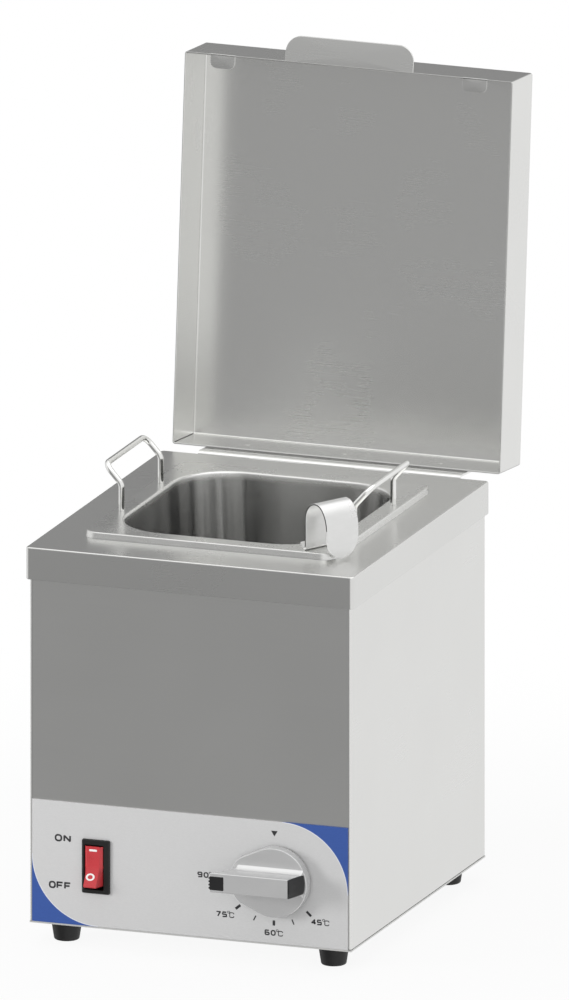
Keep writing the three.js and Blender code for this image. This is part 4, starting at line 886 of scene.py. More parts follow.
@dataclass
class Feet:
    """Four tapered rubber feet with a screw in the recess of each."""

    height: float = 12.95
    top: float = 9.5
    tip: float = 7.8
    sole: float = 1.3
    shoulder: float = 0.9
    straight: Pair = (0.25, 2.2)
    recess: float = 4.2
    recess_depth: float = 6.0
    recess_edge: float = 0.4
    bore: float = 2.3
    places: tuple[tuple[str, float, float], ...] = (
        ("front_left", -1, -1), ("front_right", 1, -1), ("back_left", -1, 1), ("back_right", 1, 1))
    x: float = 85.5
    y: float = 100.5

    def build(self, shop: Workshop) -> None:
        """Turn each foot with a rounded sole and a soft shoulder."""
        sole = arc(self.tip - self.sole, self.sole, self.sole, -90, 0, 5)
        shoulder = arc(self.top - self.shoulder, self.height - self.shoulder, self.shoulder, 0, 90, 4)
        profile = np.concatenate([
            [[self.bore, self.recess_depth], [self.recess, self.recess_depth],
             [self.recess, self.recess_edge], [self.recess + self.recess_edge, 0.0]], sole,
            [[self.top - self.straight[0], self.height - self.straight[1]]], shoulder,
            [[self.bore, self.height]]])
        for place, right, back in self.places:
            loops = lathe(profile, 48) + np.array([right * self.x, back * self.y, 0.0])
            shop.piece(f"foot_rubber_{place}", Surface().grid(loops, Ends.JOINED), FOOT_RUBBER,
                       Body.CASING, (f"foot_{place}",), crease=50)
            shop.dress(ZINC_STEEL, f"foot_screw_{place}")


@dataclass
class Pan:
    """Lift-out pan with a flat flange, a turned-down edge and two wire handles."""

    width: float = 162.0
    depth: float = 176.0
    corner: float = 10.0
    top: float = 251.0
    rise: float = 3.95
    flange: float = 13.0
    flat_margin: float = 1.0
    mouth_corner: float = 34.0
    floor: float = 151.0
    floor_insets: Triple = (50.0, 36.0, 22.0)
    taper: float = 7.0
    corner_taper: float = 0.35
    least_corner: float = 4.0
    floor_radius: float = 10.0
    wall: float = 0.8
    edge_bend: float = 0.9
    edge_slope: float = 0.7
    inner_edge: float = 0.5
    lip_bend: float = 1.6
    wire: float = 3.6
    span: float = 69.0
    leg: float = 16.6
    lean: float = 10.3
    lean_rise: float = 11.4
    wire_bend: float = 6.0
    wire_gap: float = 0.05

    def mouth(self) -> LoopStack:
        """Return an empty stack of loops round the pan's mouth."""
        return LoopStack(self.width - 2 * self.flange, self.depth - 2 * self.flange,
                         self.mouth_corner)

    def well_rows(self, grow: float, floor: float, radius: float) -> list[list[float]]:
        """Return rows of the well from its middle to under the lip.

        The well is a rounded rectangle that narrows evenly towards the floor, where a quarter
        circle turns it flat.

        Args:
            grow: How far the surface stands outside the inner one.
            floor: Height of the floor.
            radius: Radius of the turn at the floor.

        Returns:
            Rows of width, depth, corner radius, height and bend.
        """
        well = self.mouth()

        def note(inset: float, height: float) -> None:
            """Note one loop at a height, drawn in by the taper and by an inset."""
            drop = (self.top - height) / (self.top - self.floor) * self.taper
            curve = self.mouth_corner + grow - self.corner_taper * drop - inset
            well.loop(drop + inset - grow, height, corner=max(curve, self.least_corner))

        for inset in self.floor_insets:
            note(inset, floor)
        for angle in quarter(7):
            note(radius * (1 - math.sin(angle)), floor + radius * (1 - math.cos(angle)))
        for height in np.linspace(floor + radius + 6, self.top - self.lip_bend - 2, 6):
            note(0.0, float(height))
        return well.rows

    def build_bowl(self, shop: Workshop) -> None:
        """Make the pan as one closed shell from the inner floor to the edge and back under."""
        lip = self.mouth()
        for angle in quarter(6):
            lip.loop(-self.lip_bend * (1 - math.cos(angle)),
                     self.top - self.lip_bend * (1 - math.sin(angle)), math.sin(2 * angle))
        lip.loop(-self.lip_bend - self.flat_margin, self.top)
        flange = LoopStack(self.width, self.depth, self.corner)
        flange.loop(self.edge_slope + self.edge_bend + self.flat_margin, self.top)
        flange.edge(self.edge_slope, self.top, self.edge_bend, 6)
        low = self.top - self.rise
        under = self.top - self.wall
        flange.loop(0.0, low)
        flange.loop(self.wall, low)
        flange.loop(self.wall, under - self.inner_edge)
        flange.loop(2 * self.wall, under)
        neck = self.mouth()
        neck.loop(-self.lip_bend, under)
        neck.loop(-self.wall, under - self.lip_bend)
        inside = self.well_rows(0.0, self.floor + self.wall, self.floor_radius)
        outside = self.well_rows(self.wall, self.floor, self.floor_radius + self.wall)
        rings, bend = stacked(inside + lip.rows + flange.rows + neck.rows + outside[::-1], 12)
        shop.piece("pan_bowl", Surface().grid(rings, bend=bend), PAN_STEEL, Body.PAN, ("pan",),
                   crease=50)

    def build_handles(self, shop: Workshop) -> None:
        """Bend each handle from round wire."""
        x = (self.width - self.flange) / 2
        y = self.span / 2
        base = self.top + self.wire_gap
        top = base + self.leg + self.lean_rise
        for side, sign in (("left", -1), ("right", 1)):
            near, far = sign * x, sign * (x + self.lean)
            route = np.array([[near, -y, base], [near, -y, base + self.leg], [far, -y, top],
                              [far, y, top], [near, y, base + self.leg], [near, y, base]])
            path = rounded_path(route, self.wire_bend, 10)
            rings = sweep(path, self.wire / 2 * circle(24), RIGHT)
            shop.piece(f"wire_handle_{side}", Surface().grid(rings), WIRE_STEEL, Body.PAN,
                       (f"pan_handle_{side}",), crease=60)

    def build(self, shop: Workshop) -> None:
        """Make the pan and its handles."""
        self.build_bowl(shop)
        self.build_handles(shop)


@dataclass
class Ladle:
    """Ladle: a flat strap hooked over the pan's corner that narrows to a stem with a cup."""

    origin: Triple = (84.74, -83.40, 247.0)
    turn: float = 150.0
    strap: float = 1.2
    strap_edge: float = 0.45
    half_tongue: float = 12.4
    half_stem: float = 3.0
    half_least: float = 0.4
    lift: float = 1.5
    hook_radius: float = 10.0
    hook_rise: float = 34.4
    hook_drops: Pair = (16.0, 11.0)
    over_flange: Pair = (20.0, 4.66)
    narrow_from: float = 21.5
    mouth: Pair = (36.0, 4.66)
    foot: Pair = (56.0, -67.9)
    end: float = -86.9
    bends: Triple = (0.65, 3.5, 7.0)
    fall_steps: int = 120
    painted_edge_rows: tuple[int, int] = (14, 66)
    painted_edge_size: Pair = (0.4, 0.25)
    painted_edge_inset: float = 0.12
    cup_radius: float = 18.0
    cup_height: float = 24.0
    cup_floor: float = -94.9
    cup_bend: float = 9.0
    cup_wall: float = 1.0
    cup_at: float = 74.9
    cup_centre: float = 4.0
    cup_lip: Pair = (0.62, 0.5)
    cup_straight: float = 2.0

    def place(self, points: Array) -> Array:
        """Turn points of the ladle's own frame to their place over the pan's corner."""
        x, y = turned(points[..., 0], points[..., 1], math.radians(self.turn))
        return np.stack([x, y, points[..., 2]], -1) + np.array(self.origin)

    def strap_path(self) -> tuple[Array, Array]:
        """Return the strap's middle line and its half width at each point.

        The line rises, goes over two quarter ellipses, drops to the flange, crosses it and runs
        down to the cup. The width is a round end, then the full tongue, then an even taper to the
        stem over the flange.
        """
        near, far = self.hook_drops
        round_end = quarter(12)
        tip = self.lift + self.half_tongue * (1 - np.cos(round_end))
        rise = np.column_stack([np.zeros(len(tip)), tip])
        turn = quarter(18)
        climb = np.column_stack([self.hook_radius * (1 - np.cos(turn)),
                                 self.hook_rise - near * (1 - np.sin(turn))])
        fall = np.column_stack([self.hook_radius * (1 + np.sin(turn)),
                                self.hook_rise - far * (1 - np.cos(turn))])
        corners = np.array([fall[-1], self.over_flange, self.mouth, self.foot,
                            [self.foot[0], self.end]])
        down = self.spread(rounded_path(corners, np.array(self.bends), 8), self.fall_steps)
        line = np.concatenate([rise, climb, fall[1:], down[1:]])
        half = np.full(len(line), self.half_tongue)
        half[:len(tip)] = self.half_tongue * np.sin(round_end)
        share = (line[:, 0] - self.narrow_from) / (self.mouth[0] - self.narrow_from)
        narrow = self.half_tongue + np.clip(share, 0.0, 1.0) * (self.half_stem - self.half_tongue)
        path = np.column_stack([line[:, 0], np.zeros(len(line)), line[:, 1]])
        return path, np.maximum(np.minimum(half, narrow), self.half_least)

    @staticmethod
    def spread(line: Array, count: int) -> Array:
        """Return a line cut into even steps."""
        run = np.concatenate([[0.0], np.cumsum(np.linalg.norm(np.diff(line, axis=0), axis=1))])
        even = np.linspace(0.0, run[-1], count)
        return np.column_stack([np.interp(even, run, line[:, index]) for index in range(2)])

    def build_strap(self, shop: Workshop) -> None:
        """Bend the strap, and lay a painted dark reflection along the edges of its hook."""
        path, half = self.strap_path()
        rings = sweep(path, slab_section(self.strap / 2, half, self.strap_edge, 6), BACK)
        surface = Surface().grid(self.place(rings))
        shop.piece("ladle_strap", surface, LADLE_STEEL, Body.LADLE, ("ladle_handle",), crease=60)
        # Painted reflection: a thin dark line along each edge of the hook
        surface = Surface()
        hook = slice(*self.painted_edge_rows)
        for side in (-1, 1):
            line = path[hook] + side * (half[hook, None] - self.painted_edge_inset) * BACK
            surface.grid(self.place(sweep(line, circle(12) * np.array(self.painted_edge_size), BACK)))
        shop.piece("ladle_painted_edge_reflection", surface, EDGE_REFLECTION_PAINT, Body.LADLE)

    def build_cup(self, shop: Workshop) -> None:
        """Turn the cup from its outer floor over the lip to its inner floor."""
        rim = self.cup_floor + self.cup_height
        inner = self.cup_radius - self.cup_wall
        bend = self.cup_bend
        inner_bend = bend - self.cup_wall
        lip_radius, lip_drop = self.cup_lip
        outside = arc(self.cup_radius - bend, self.cup_floor + bend, bend, -90, 0, 10)
        lip = arc(self.cup_radius - self.cup_wall / 2, rim - lip_drop, lip_radius, 0, 180, 6)
        inside = arc(inner - inner_bend, self.cup_floor + bend, inner_bend, 0, -90, 10)
        profile = np.concatenate([
            [[self.cup_centre, self.cup_floor]], outside,
            [[self.cup_radius, rim - self.cup_straight]], lip,
            [[inner, rim - self.cup_straight]], inside,
            [[self.cup_centre, self.cup_floor + self.cup_wall]]])
        loops = lathe(profile, 72) + self.cup_at * RIGHT
        surface = Surface().grid(self.place(loops))
        shop.piece("ladle_bowl", surface, LADLE_STEEL, Body.LADLE, ("ladle_cup",), crease=60)

    def build(self, shop: Workshop) -> None:
        """Make the strap and the cup and polish their rivets."""
        self.build_strap(shop)
        self.build_cup(shop)
        shop.dress(WIRE_STEEL, "ladle_rivet_1", "ladle_rivet_2")


@dataclass
class Lid:
    """Lid: a shallow tray with a pull and two rests, swung open about the hinge."""

    width: float = 210.0
    depth: float = 240.0
    corner: float = 1.5
    rim: float = 247.5
    height: float = 36.0
    sheet: float = 1.0
    bend: float = 1.2
    inner_bend: float = 0.9
    top_insets: Pair = (75.0, 30.0)
    flat_margin: float = 1.0
    hem: Pair = (0.2, 0.25)
    open: float = 95.3
    hinge_y: float = 128.8
    hinge_z: float = 238.4
    pull: Triple = (82.0, 16.0, 10.0)
    pull_lean: float = 0.12
    rest: Triple = (15.8, 8.1, 4.0)
    rest_inset: float = 24.3
    fold_corner: float = 0.3
    tab_edge: float = 0.25
    packing: Triple = (167.0, 0.3, 11.5)
    packing_gap: float = 0.05
    corner_shade: float = 0.45
    corner_shade_gap: float = 0.1
    strip_edge: float = 0.1

    def swing(self, points: Array) -> Array:
        """Turn points of the shut lid about the hinge to where the open lid stands."""
        y, z = turned(points[..., 1] - self.hinge_y, points[..., 2] - self.hinge_z,
                      -math.radians(self.open))
        return np.stack([points[..., 0], y + self.hinge_y, z + self.hinge_z], -1)

    def tray_rings(self) -> tuple[Array, Array]:
        """Return the loops of the tray from the middle of its top, round the rim, to inside."""
        top = self.rim + self.height
        under = top - self.sheet
        draw, rise = self.hem
        tray = LoopStack(self.width, self.depth, self.corner)
        for inset in self.top_insets:
            tray.loop(inset, top, corner=self.corner)
        tray.loop(self.bend + self.flat_margin, top, corner=0.2)
        tray.edge(0.0, top, self.bend, 5)
        tray.loop(0.0, self.rim + rise)
        tray.loop(draw, self.rim, 1.0)
        tray.loop(self.sheet - draw, self.rim, 1.0, corner=0.6)
        tray.loop(self.sheet, self.rim + rise)
        tray.edge(self.sheet, under, self.inner_bend, 5, upward=True)
        tray.loop(self.sheet + self.inner_bend + self.flat_margin, under)
        for inset in self.top_insets[::-1]:
            tray.loop(inset, under, corner=self.corner)
        return stacked(tray.rows, 4)

    def tab(self, width: float, length: float, corner: float, x: float, front: float,
            sign: float) -> Array:
        """Return the loops of a flat tab with two round corners at its free end.

        Args:
            width: Its width.
            length: How far it stands out from the fold.
            corner: Radius of its free corners.
            x: Its middle across the lid.
            front: The line of the fold.
            sign: Minus one where it points to the front of the shut lid, one where it points in.

        Returns:
            The loops.
        """
        half, small, edge = width / 2, self.fold_corner, self.tab_edge
        free = sign * (length - corner)
        fold = -sign * small
        centres = np.array([[half - corner, free], [corner - half, free], [small - half, fold],
                            [half - small, fold]])
        turns = np.radians([0.0, 90.0, 180.0, 270.0, 360.0]) * sign
        hull = Hull(centres, np.array([corner, corner, small, small]), turns, 8)
        rings = hull.ring([-edge, 0.0, 0.0, -edge], [0.0, edge, self.sheet - edge, self.sheet])
        return rings + np.array([x, front, self.rim])

    def build_tray(self, shop: Workshop) -> None:
        """Make the tray with its pull, which leans a little, and its two rests."""
        rings, bend = self.tray_rings()
        surface = Surface().grid(self.swing(rings), bend=bend)
        front = -self.depth / 2 + self.sheet / 2
        pull = self.tab(*self.pull, 0.0, front, -1.0)
        pull[..., 2] += self.pull_lean * np.maximum(front - pull[..., 1], 0.0)
        surface.grid(self.swing(pull))
        x = self.width / 2 - self.rest_inset
        for place in (-x, x):
            surface.grid(self.swing(self.tab(*self.rest, place, front, 1.0)))
        shop.piece("lid_tray", surface, LID_STEEL, Body.LID, ("lid_shell",), crease=50)

    def build_strips(self, shop: Workshop) -> None:
        """Lay the packing under the hinge leaf and black strips of painted shade in the tray's
        corners.
        """
        wide, thick, tall = self.packing
        draw = self.strip_edge * np.array([1.0, 0.0, 0.0, 1.0])
        rise = np.array([0.05, 0.15, tall - 0.15, tall])
        strip = box_rings(wide - draw, thick - draw, 0.08, self.rim + rise, 3)
        strip += (self.depth / 2 + self.packing_gap + thick / 2) * BACK
        shop.piece("hinge_packing", Surface().grid(self.swing(strip)), LID_STEEL, Body.LID)
        # Painted shade: thin black strips stand in the inner corners of the tray
        surface = Surface()
        size = self.corner_shade - draw
        rise = np.array([0.4, 0.6, self.height - 2.2, self.height - 2.0])
        corner_shade = box_rings(size, size, 0.1, self.rim + rise, 3)
        inset = self.sheet + self.corner_shade_gap
        for right in (-1, 1):
            for back in (-1, 1):
                corner = np.array([right * (self.width / 2 - inset),
                                   back * (self.depth / 2 - inset), 0.0])
                surface.grid(self.swing(corner_shade + corner))
        shop.piece("lid_corner_painted_shade", surface, SWITCH_BLACK, Body.LID)

    def build(self, shop: Workshop) -> None:
        """Make the tray and its strips and dress the hinge."""
        self.build_tray(shop)
        self.build_strips(shop)
        shop.dress(HINGE_STEEL, "hinge_leaf_lid", "hinge_leaf_casing")
        shop.dress(ZINC_STEEL, "hinge_pin", "hinge_screw_1", "hinge_screw_2", "hinge_screw_3")
        shop.dress(LID_STEEL, "lid_rivet_1", "lid_rivet_2", "lid_rivet_3")


@dataclass
class Knob:
    """Thermostat knob: a drop-shaped disc with a raised bar, two black inlays and its shaft.

    Its plan has its first number along the bar, from the tip at the left to the tail at the
    right, its second across the bar and its third forward.
    """

    x: float = 54.6
    z: float = 54.8
    back: float = -119.85
    disc: float = 6.5
    shift: Pair = (1.3, -1.0)
    radius: float = 21.8
    draft: float = 0.35
    edge: float = 0.45
    nose: Triple = (-14.8, 4.0, 12.0)
    rise: float = 14.9
    half: float = 6.0
    sunk: float = 1.2
    tip: Pair = (-33.8, -22.8)
    tail: Pair = (16.5, 21.6)
    tail_grow: float = 0.5
    end_curve: float = 20.0
    end_run: float = 2.0
    middle_share: Pair = (0.06, 0.94)
    fillet: Pair = (2.6, 3.0)
    fillet_foot: float = 1.5
    fillet_hollow: float = 0.15
    round: float = 0.5
    pad: Pair = (9.0, 8.6)
    pad_drop: float = -0.3
    pad_overhang: float = 0.15
    ribs: int = 4
    rib_span: float = 0.36
    rib_overhang: float = 0.25
    cap_low: float = 0.4
    cap_short: float = 0.45
    cap_margin: float = 0.05
    cap_fade: float = 0.04
    cap_skins: Pair = (0.62, -0.8)

    def touch(self) -> float:
        """Return the direction in which one straight line touches the disc and the nose."""
        nose_x, nose_z, nose_radius = self.nose
        reach = math.hypot(nose_x, nose_z)
        return math.atan2(nose_z, nose_x) - math.acos((self.radius - nose_radius) / reach)

    def disc_reach(self, x: Array) -> Array:
        """Return how far the disc's outline stands from the bar's middle at places along it.

        The outline is the disc's circle as far as the point where the straight line touches it,
        and past that point the line and the end of the nose.
        """
        x = x - self.shift[0]
        nose_x, nose_z, nose_radius = self.nose
        way = np.array([math.cos(self.touch()), math.sin(self.touch())])
        far, near = np.array([nose_x, nose_z]) + nose_radius * way, self.radius * way
        line = np.interp(x, [nose_x - nose_radius, far[0], near[0]], [nose_z, far[1], near[1]])
        bow = np.sqrt(np.maximum(self.radius ** 2 - x ** 2, 0.0))
        return np.where(x < near[0], line, bow) - abs(self.shift[1])

    def disc_loops(self) -> Array:
        """Return the disc: the outline round the circle and the nose, with a rounded front."""
        nose_x, nose_z, nose_radius = self.nose
        turn = self.touch()
        hull = Hull(np.array([[0.0, 0.0], [nose_x, nose_z], [nose_x, -nose_z]]),
                    np.array([self.radius, nose_radius, nose_radius]),
                    np.array([-turn, turn, math.pi, 2 * math.pi - turn]), 40)
        angle = quarter(5)
        inset = np.concatenate([[-1.2, -0.3, 0.0], self.edge * (np.cos(angle) - 1) - self.draft,
                                [-self.draft - self.edge - 0.8]])
        height = np.concatenate([[0.0, 0.0, 0.4], self.disc - self.edge * (1 - np.sin(angle)),
                                 [self.disc]])
        return hull.ring(inset, height)

    def bar_section(self) -> Array:
        """Return the bar's section as points across and forward.

        The section climbs a straight fillet with a slight hollow from the disc, runs up the
        flank, turns over a small round edge and crosses the front to the other flank.
        """
        wide, deep = self.fillet
        share = np.linspace(0.0, 1.0, 8)
        hollow = self.fillet_hollow * np.sin(math.pi * share)
        flare = np.column_stack([self.half + wide * (1 - share) - hollow,
                                 self.disc + deep * share - hollow])
        front = self.disc + self.rise
        edge = arc(self.half - self.round, front - self.round, self.round, 0, 90, 4)
        foot = [[self.half + wide, self.disc - self.fillet_foot]]
        right = np.concatenate([foot, flare, edge])
        left = right[::-1] * np.array([-1.0, 1.0])
        return np.concatenate([right, left])

    def slant(self, ends: Pair, depth: Array, across: Array) -> Array:
        """Return where an end of the bar stands along it.

        The end leans evenly from its front to its back, which is sunk a little into the disc. It
        draws back by the square of the distance across.

        Args:
            ends: Its places at the front and at the back.
            depth: How far forward each point is.
            across: How far each point is from the bar's middle.

        Returns:
            The place of each point.
        """
        lift = (depth - self.disc + self.sunk) / (self.rise + self.sunk)
        return ends[1] + (ends[0] - ends[1]) * lift - across ** 2 / (2 * self.end_curve)

    def bar_loops(self) -> Array:
        """Return the bar: its section carried from the tip to the tail between slanted ends.

        The flare of the fillet fades where the bar runs past the disc. The ends round off over
        their last half millimetre. Only the tail's end is curved.
        """
        side, depth = self.bar_section().T
        inner = np.minimum(np.abs(side), self.half)
        low = self.slant(self.tip, depth, 0.0 * inner)
        high = self.slant(self.tail, depth, inner) + self.tail_grow
        turn = quarter(4)
        end = np.append(self.round * (1 - np.cos(turn)), self.end_run)[:, None]
        share = np.linspace(*self.middle_share, 40)[:, None]
        x = np.concatenate([low + end, low + (high - low) * share, high - end[::-1]])
        draw = self.round * (1 - np.sin(turn))
        draw = np.concatenate([draw, np.zeros(len(share) + 2), draw[::-1]])[:, None]
        room = np.maximum(self.disc_reach(x) - self.half - self.draft - self.edge, 0.0)
        flare = (np.abs(side) - inner) * np.clip(room / self.fillet[0], 0.0, 1.0)
        across = np.sign(side) * (np.maximum(inner - draw, 0.0) + flare)
        forward = np.where(depth > self.disc + self.rise / 2, depth - draw, depth)
        return np.stack([x, across, forward], -1)

    def place(self, points: Array) -> Array:
        """Lay a plan on the front about the knob's axis."""
        return to_front(points, self.x, self.back, self.z)

    def build_tip_pad(self, shop: Workshop) -> None:
        """Make the ribbed pad wrapped over the tip.

        The pad is a rounded slab a hair proud of the bar. Its ribs are small rounded bars down
        the tip's slanted end.
        """
        wide, tall = self.pad
        front = self.disc + self.rise
        rows = np.array([[wide, tall, 0.5, -2.0], [wide, tall, 0.5, -0.05],
                         [wide - 0.3, tall - 0.3, 0.4, 0.12], [wide - 1.0, tall - 1.0, 0.3, 0.16]])
        middle = np.array([self.tip[0] + wide / 2 - self.pad_overhang, self.pad_drop, front])
        surface = Surface().grid(self.place(box_rings(*rows.T, 4) + middle))
        rib = np.array([[1.1, 0.9, 0.25, -2.2], [1.1, 0.9, 0.25, 0.0], [0.7, 0.6, 0.2, 0.14]])
        for rise in np.linspace(-self.rib_span, self.rib_span, self.ribs) * tall:
            middle = np.array([self.tip[0] - self.rib_overhang, self.pad_drop + rise, front])
            surface.grid(self.place(box_rings(*rib.T, 3) + middle))
        shop.piece("knob_tip_pad", surface, INLAY_BLACK, Body.KNOB, ("knob_tip_inlay",))

    def build_tail_cap(self, shop: Workshop) -> None:
        """Make the cap as a sheet whose middle follows the tail's slanted and curved end.

        Its sides draw in a little towards its top and bottom, by the sixth power of the height
        from its middle.
        """
        across = np.linspace(-1.0, 1.0, 17)[None]
        share = np.linspace(0.0, 1.0, 13)[:, None]
        over = across * (self.half - self.cap_margin) * (
            1 - self.cap_fade * np.abs(2 * share - 1) ** 6)
        ahead = self.disc + self.cap_low + share * (self.rise - self.cap_short) + 0 * over
        end = self.slant(self.tail, ahead, over)
        sheet = [self.place(np.stack([end + depth, over, ahead], -1)) for depth in self.cap_skins]
        surface = Surface()
        for skin in sheet:
            surface.grid(skin, Ends.OPEN, wrap_columns=False)
        rim = [np.concatenate([skin[0], skin[1:, -1], skin[-1, -2::-1], skin[-2:0:-1, 0]])
               for skin in sheet]
        surface.grid(np.stack(rim), Ends.OPEN)
        shop.piece("knob_tail_cap", surface, INLAY_BLACK, Body.KNOB, ("knob_tail_inlay",))

    def build(self, shop: Workshop) -> None:
        """Make the knob and its inlays and dress the shaft."""
        disc = to_front(self.disc_loops(), self.x + self.shift[0], self.back,
                        self.z + self.shift[1])
        surface = Surface().grid(disc).grid(self.place(self.bar_loops()))
        shop.piece("knob_grip", surface, KNOB_SILVER, Body.KNOB, ("thermostat_knob",), crease=50)
        self.build_tip_pad(shop)
        self.build_tail_cap(shop)
        shop.dress(ZINC_STEEL, "thermostat_shaft")


@dataclass
class Switch:
    """Rocker switch: a black housing with a bezel, and a red rocker with two white marks."""

    x: float = -59.9
    z: float = 51.8
    back: float = -118.9
    bezel: Triple = (17.8, 33.6, 1.6)
    box: Triple = (15.0, 31.4, 17.0)
    pocket: tuple[float, float, float, float] = (12.0, 27.6, -1.0, -0.4)
    pocket_rise: float = 2.0
    blade: Triple = (4.8, 0.8, 8.0)
    blade_spread: float = 10.0
    face_edges: Pair = (-5.4, 2.7)
    foot_edges: Pair = (-6.6, 4.6)
    rise: float = 12.9
    drop: float = 11.6
    soft: float = 0.8
    proud: float = 0.8
    hollow: float = 0.35
    throw: float = 30.0
    depth: float = 7.0
    pin: Triple = (0.9, -6.9, 4.9)

    def build_housing(self, shop: Workshop) -> None:
        """Make the housing as one closed shell from its pocket, over the bezel, to its back."""
        wide, tall, thick = self.bezel
        box_wide, box_tall, deep = self.box
        in_wide, in_tall, right, above = self.pocket
        low = self.pocket_rise - deep
        rows = np.array([
            [in_wide * 0.5, in_tall * 0.5, 0.4, low], [in_wide, in_tall, 0.4, low],
            [in_wide, in_tall, 0.5, thick - 0.5], [in_wide + 0.4, in_tall + 0.4, 0.7, thick],
            [wide - 1.1, tall - 1.1, 0.7, thick], [wide - 0.3, tall - 0.3, 0.9, thick - 0.25],
            [wide, tall, 1.0, thick - 0.7], [wide, tall, 1.0, 0.0], [box_wide, box_tall, 0.6, 0.0],
            [box_wide, box_tall, 0.6, -deep], [box_wide * 0.5, box_tall * 0.5, 0.4, -deep]])
        loops = box_rings(*rows.T, 5)
        loops[:4] += np.array([right, above, 0.0])
        surface = Surface().grid(to_front(loops, self.x, self.back, self.z))
        blade_wide, blade_thick, blade_long = self.blade
        blade = np.array([[blade_wide, blade_thick, 0.1, 0.5 - deep],
                          [blade_wide, blade_thick, 0.1, 1.0 - deep - blade_long],
                          [blade_wide - 1.2, blade_thick - 0.3, 0.1, -deep - blade_long]])
        for rise in (-self.blade_spread, self.blade_spread):
            surface.grid(to_front(box_rings(*blade.T, 2), self.x, self.back, self.z + rise))
        shop.piece("switch_frame", surface, SWITCH_BLACK, Body.CASING, ("switch_housing",))

    def slope(self) -> float:
        """Return how far the rocker's lower half leans out for each unit that it goes down."""
        return math.tan(math.radians(self.throw))

    def face(self, height: Array) -> Array:
        """Return how far the rocker stands in front of the bezel at a height on its middle.

        The upper half is flush with a slight hollow. The lower half leans out by the throw, with
        the same hollow, which is a parabola over each half.
        """
        low = self.proud - np.minimum(height, 0.0) * self.slope()
        share = np.where(height > 0, height / self.rise, -height / self.drop)
        return low - self.hollow * 4 * share * (1 - share)

    def build_rocker(self, shop: Workshop) -> None:
        """Make the rocker as a side outline carried across, and its pin.

        Outside the face's two soft edges the outline draws back to the bezel, so that both flanks
        slant from the face to the wider foot.
        """
        front, low = self.bezel[2], self.soft - self.drop
        height = np.linspace(self.rise, low, 25)
        face = np.stack([front + self.face(height), height], -1)
        chin = front + self.proud - low * self.slope()
        back = np.array([[chin - self.soft, -self.drop], [front - self.depth / 2, low],
                         [front - self.depth, -self.drop / 3], [front - self.depth, self.drop / 3],
                         [front - self.depth / 2, self.rise - self.soft]])
        outline = np.concatenate([face, back])
        middle = outline.mean(axis=0)
        left, right = self.face_edges
        places = np.array([self.foot_edges[0], left, left + 0.12, left + 0.4, right - 0.4,
                           right - 0.12, right, self.foot_edges[1]])
        draws = np.array([0.0, 0.25, 0.08, 0.0, 0.0, 0.08, 0.25, 0.0])
        size = np.abs(outline - middle).max(axis=0)
        loops = middle + (outline - middle)[None] * (1 - draws[:, None, None] / size)
        loops[::7, :, 0] = np.minimum(loops[::7, :, 0], front - 0.3)
        x = np.broadcast_to(places[:, None], loops.shape[:2]) + self.x
        surface = Surface().grid(np.stack([x, self.back - loops[..., 0], self.z + loops[..., 1]], -1))
        radius, start, end = self.pin
        pin = lathe([[radius, start], [radius, end]], 16)
        surface.grid(np.stack([pin[..., 2] + self.x, self.back + pin[..., 0],
                               self.z + pin[..., 1]], -1))
        shop.piece("rocker_cap", surface, ROCKER_RED, Body.ROCKER, ("switch_rocker",), crease=35)

    def build_marks(self, shop: Workshop) -> None:
        """Lay a dash on the upper half and a ring on the lower half, following the face."""
        surface = Surface()
        dash = box_rings([4.6, 4.9, 4.9], [1.0, 1.3, 1.3], [0.3, 0.4, 0.4], [0.12, 0.09, -0.3], 4)
        ring = lathe([[1.6, -0.3], [1.6, 0.09], [1.75, 0.12], [2.65, 0.12], [2.8, 0.09],
                      [2.8, -0.3]], 40) * np.array([1.0, 0.72, 1.0])
        for loops, shift, rise, ends in ((dash, -1.3, 10.4, Ends.CAPPED),
                                         (ring, -2.0, -5.5, Ends.JOINED)):
            height = loops[..., 1] + rise
            front = self.bezel[2] + self.face(height) + loops[..., 2]
            points = [loops[..., 0] + self.x + shift, self.back - front, self.z + height]
            surface.grid(np.stack(points, -1), ends)
        shop.piece("rocker_marks", surface, MARK_WHITE, Body.ROCKER, crease=60)

    def build(self, shop: Workshop) -> None:
        """Make the housing, the rocker and its marks."""
        self.build_housing(shop)
        self.build_rocker(shop)
        self.build_marks(shop)


@dataclass(frozen=True)
class Letter:
    """A letter drawn with broad strokes in a box one wide and one high.

    Lines are open strokes through corner points that turn on an arc. Loops are closed rounded
    boxes given as middle, width and height.
    """

    lines: tuple[tuple[Pair, ...], ...] = ()
    loops: tuple[tuple[float, float, float, float], ...] = ()
    turn: float = 0.3


LETTERS = {
    "O": Letter(loops=((0.5, 0.5, 1.0, 1.0),)),
    "0": Letter(loops=((0.5, 0.5, 1.0, 1.0),)),
    "N": Letter((((0, 0), (0, 1)), ((0, 1), (1, 0)), ((1, 0), (1, 1)))),
    "F": Letter((((0, 0), (0, 1), (1, 1)), ((0, 0.48), (0.86, 0.48))), turn=0.02),
    "C": Letter((((1, 0.72), (1, 1), (0, 1), (0, 0), (1, 0), (1, 0.28)),), turn=0.27),
    "4": Letter((((0.72, 0), (0.72, 1), (0, 0.3), (1.05, 0.3)),), turn=0.02),
    "5": Letter((((0.98, 1), (0.08, 1), (0.02, 0.5), (1, 0.53), (1, 0), (-0.04, 0)),), turn=0.12),
    "6": Letter((((0.95, 1), (0, 1), (0, 0.3)),), ((0.5, 0.26, 1.0, 0.52),), 0.2),
    "7": Letter((((0, 1), (1, 1), (0.35, 0)),), turn=0.02),
    "9": Letter((((0.05, 0), (1, 0), (1, 0.7)),), ((0.5, 0.74, 1.0, 0.52),), 0.2),
    "°": Letter(loops=((0.2, 0.88, 0.4, 0.34),)),
}


@dataclass(frozen=True)
class Word:
    """A word of the plate's print: its letters, middle, letter size, pitch and stroke."""

    text: str
    x: float
    z: float
    width: float = 2.4
    height: float = 2.75
    pitch: float = 3.9
    stroke: float = 0.84


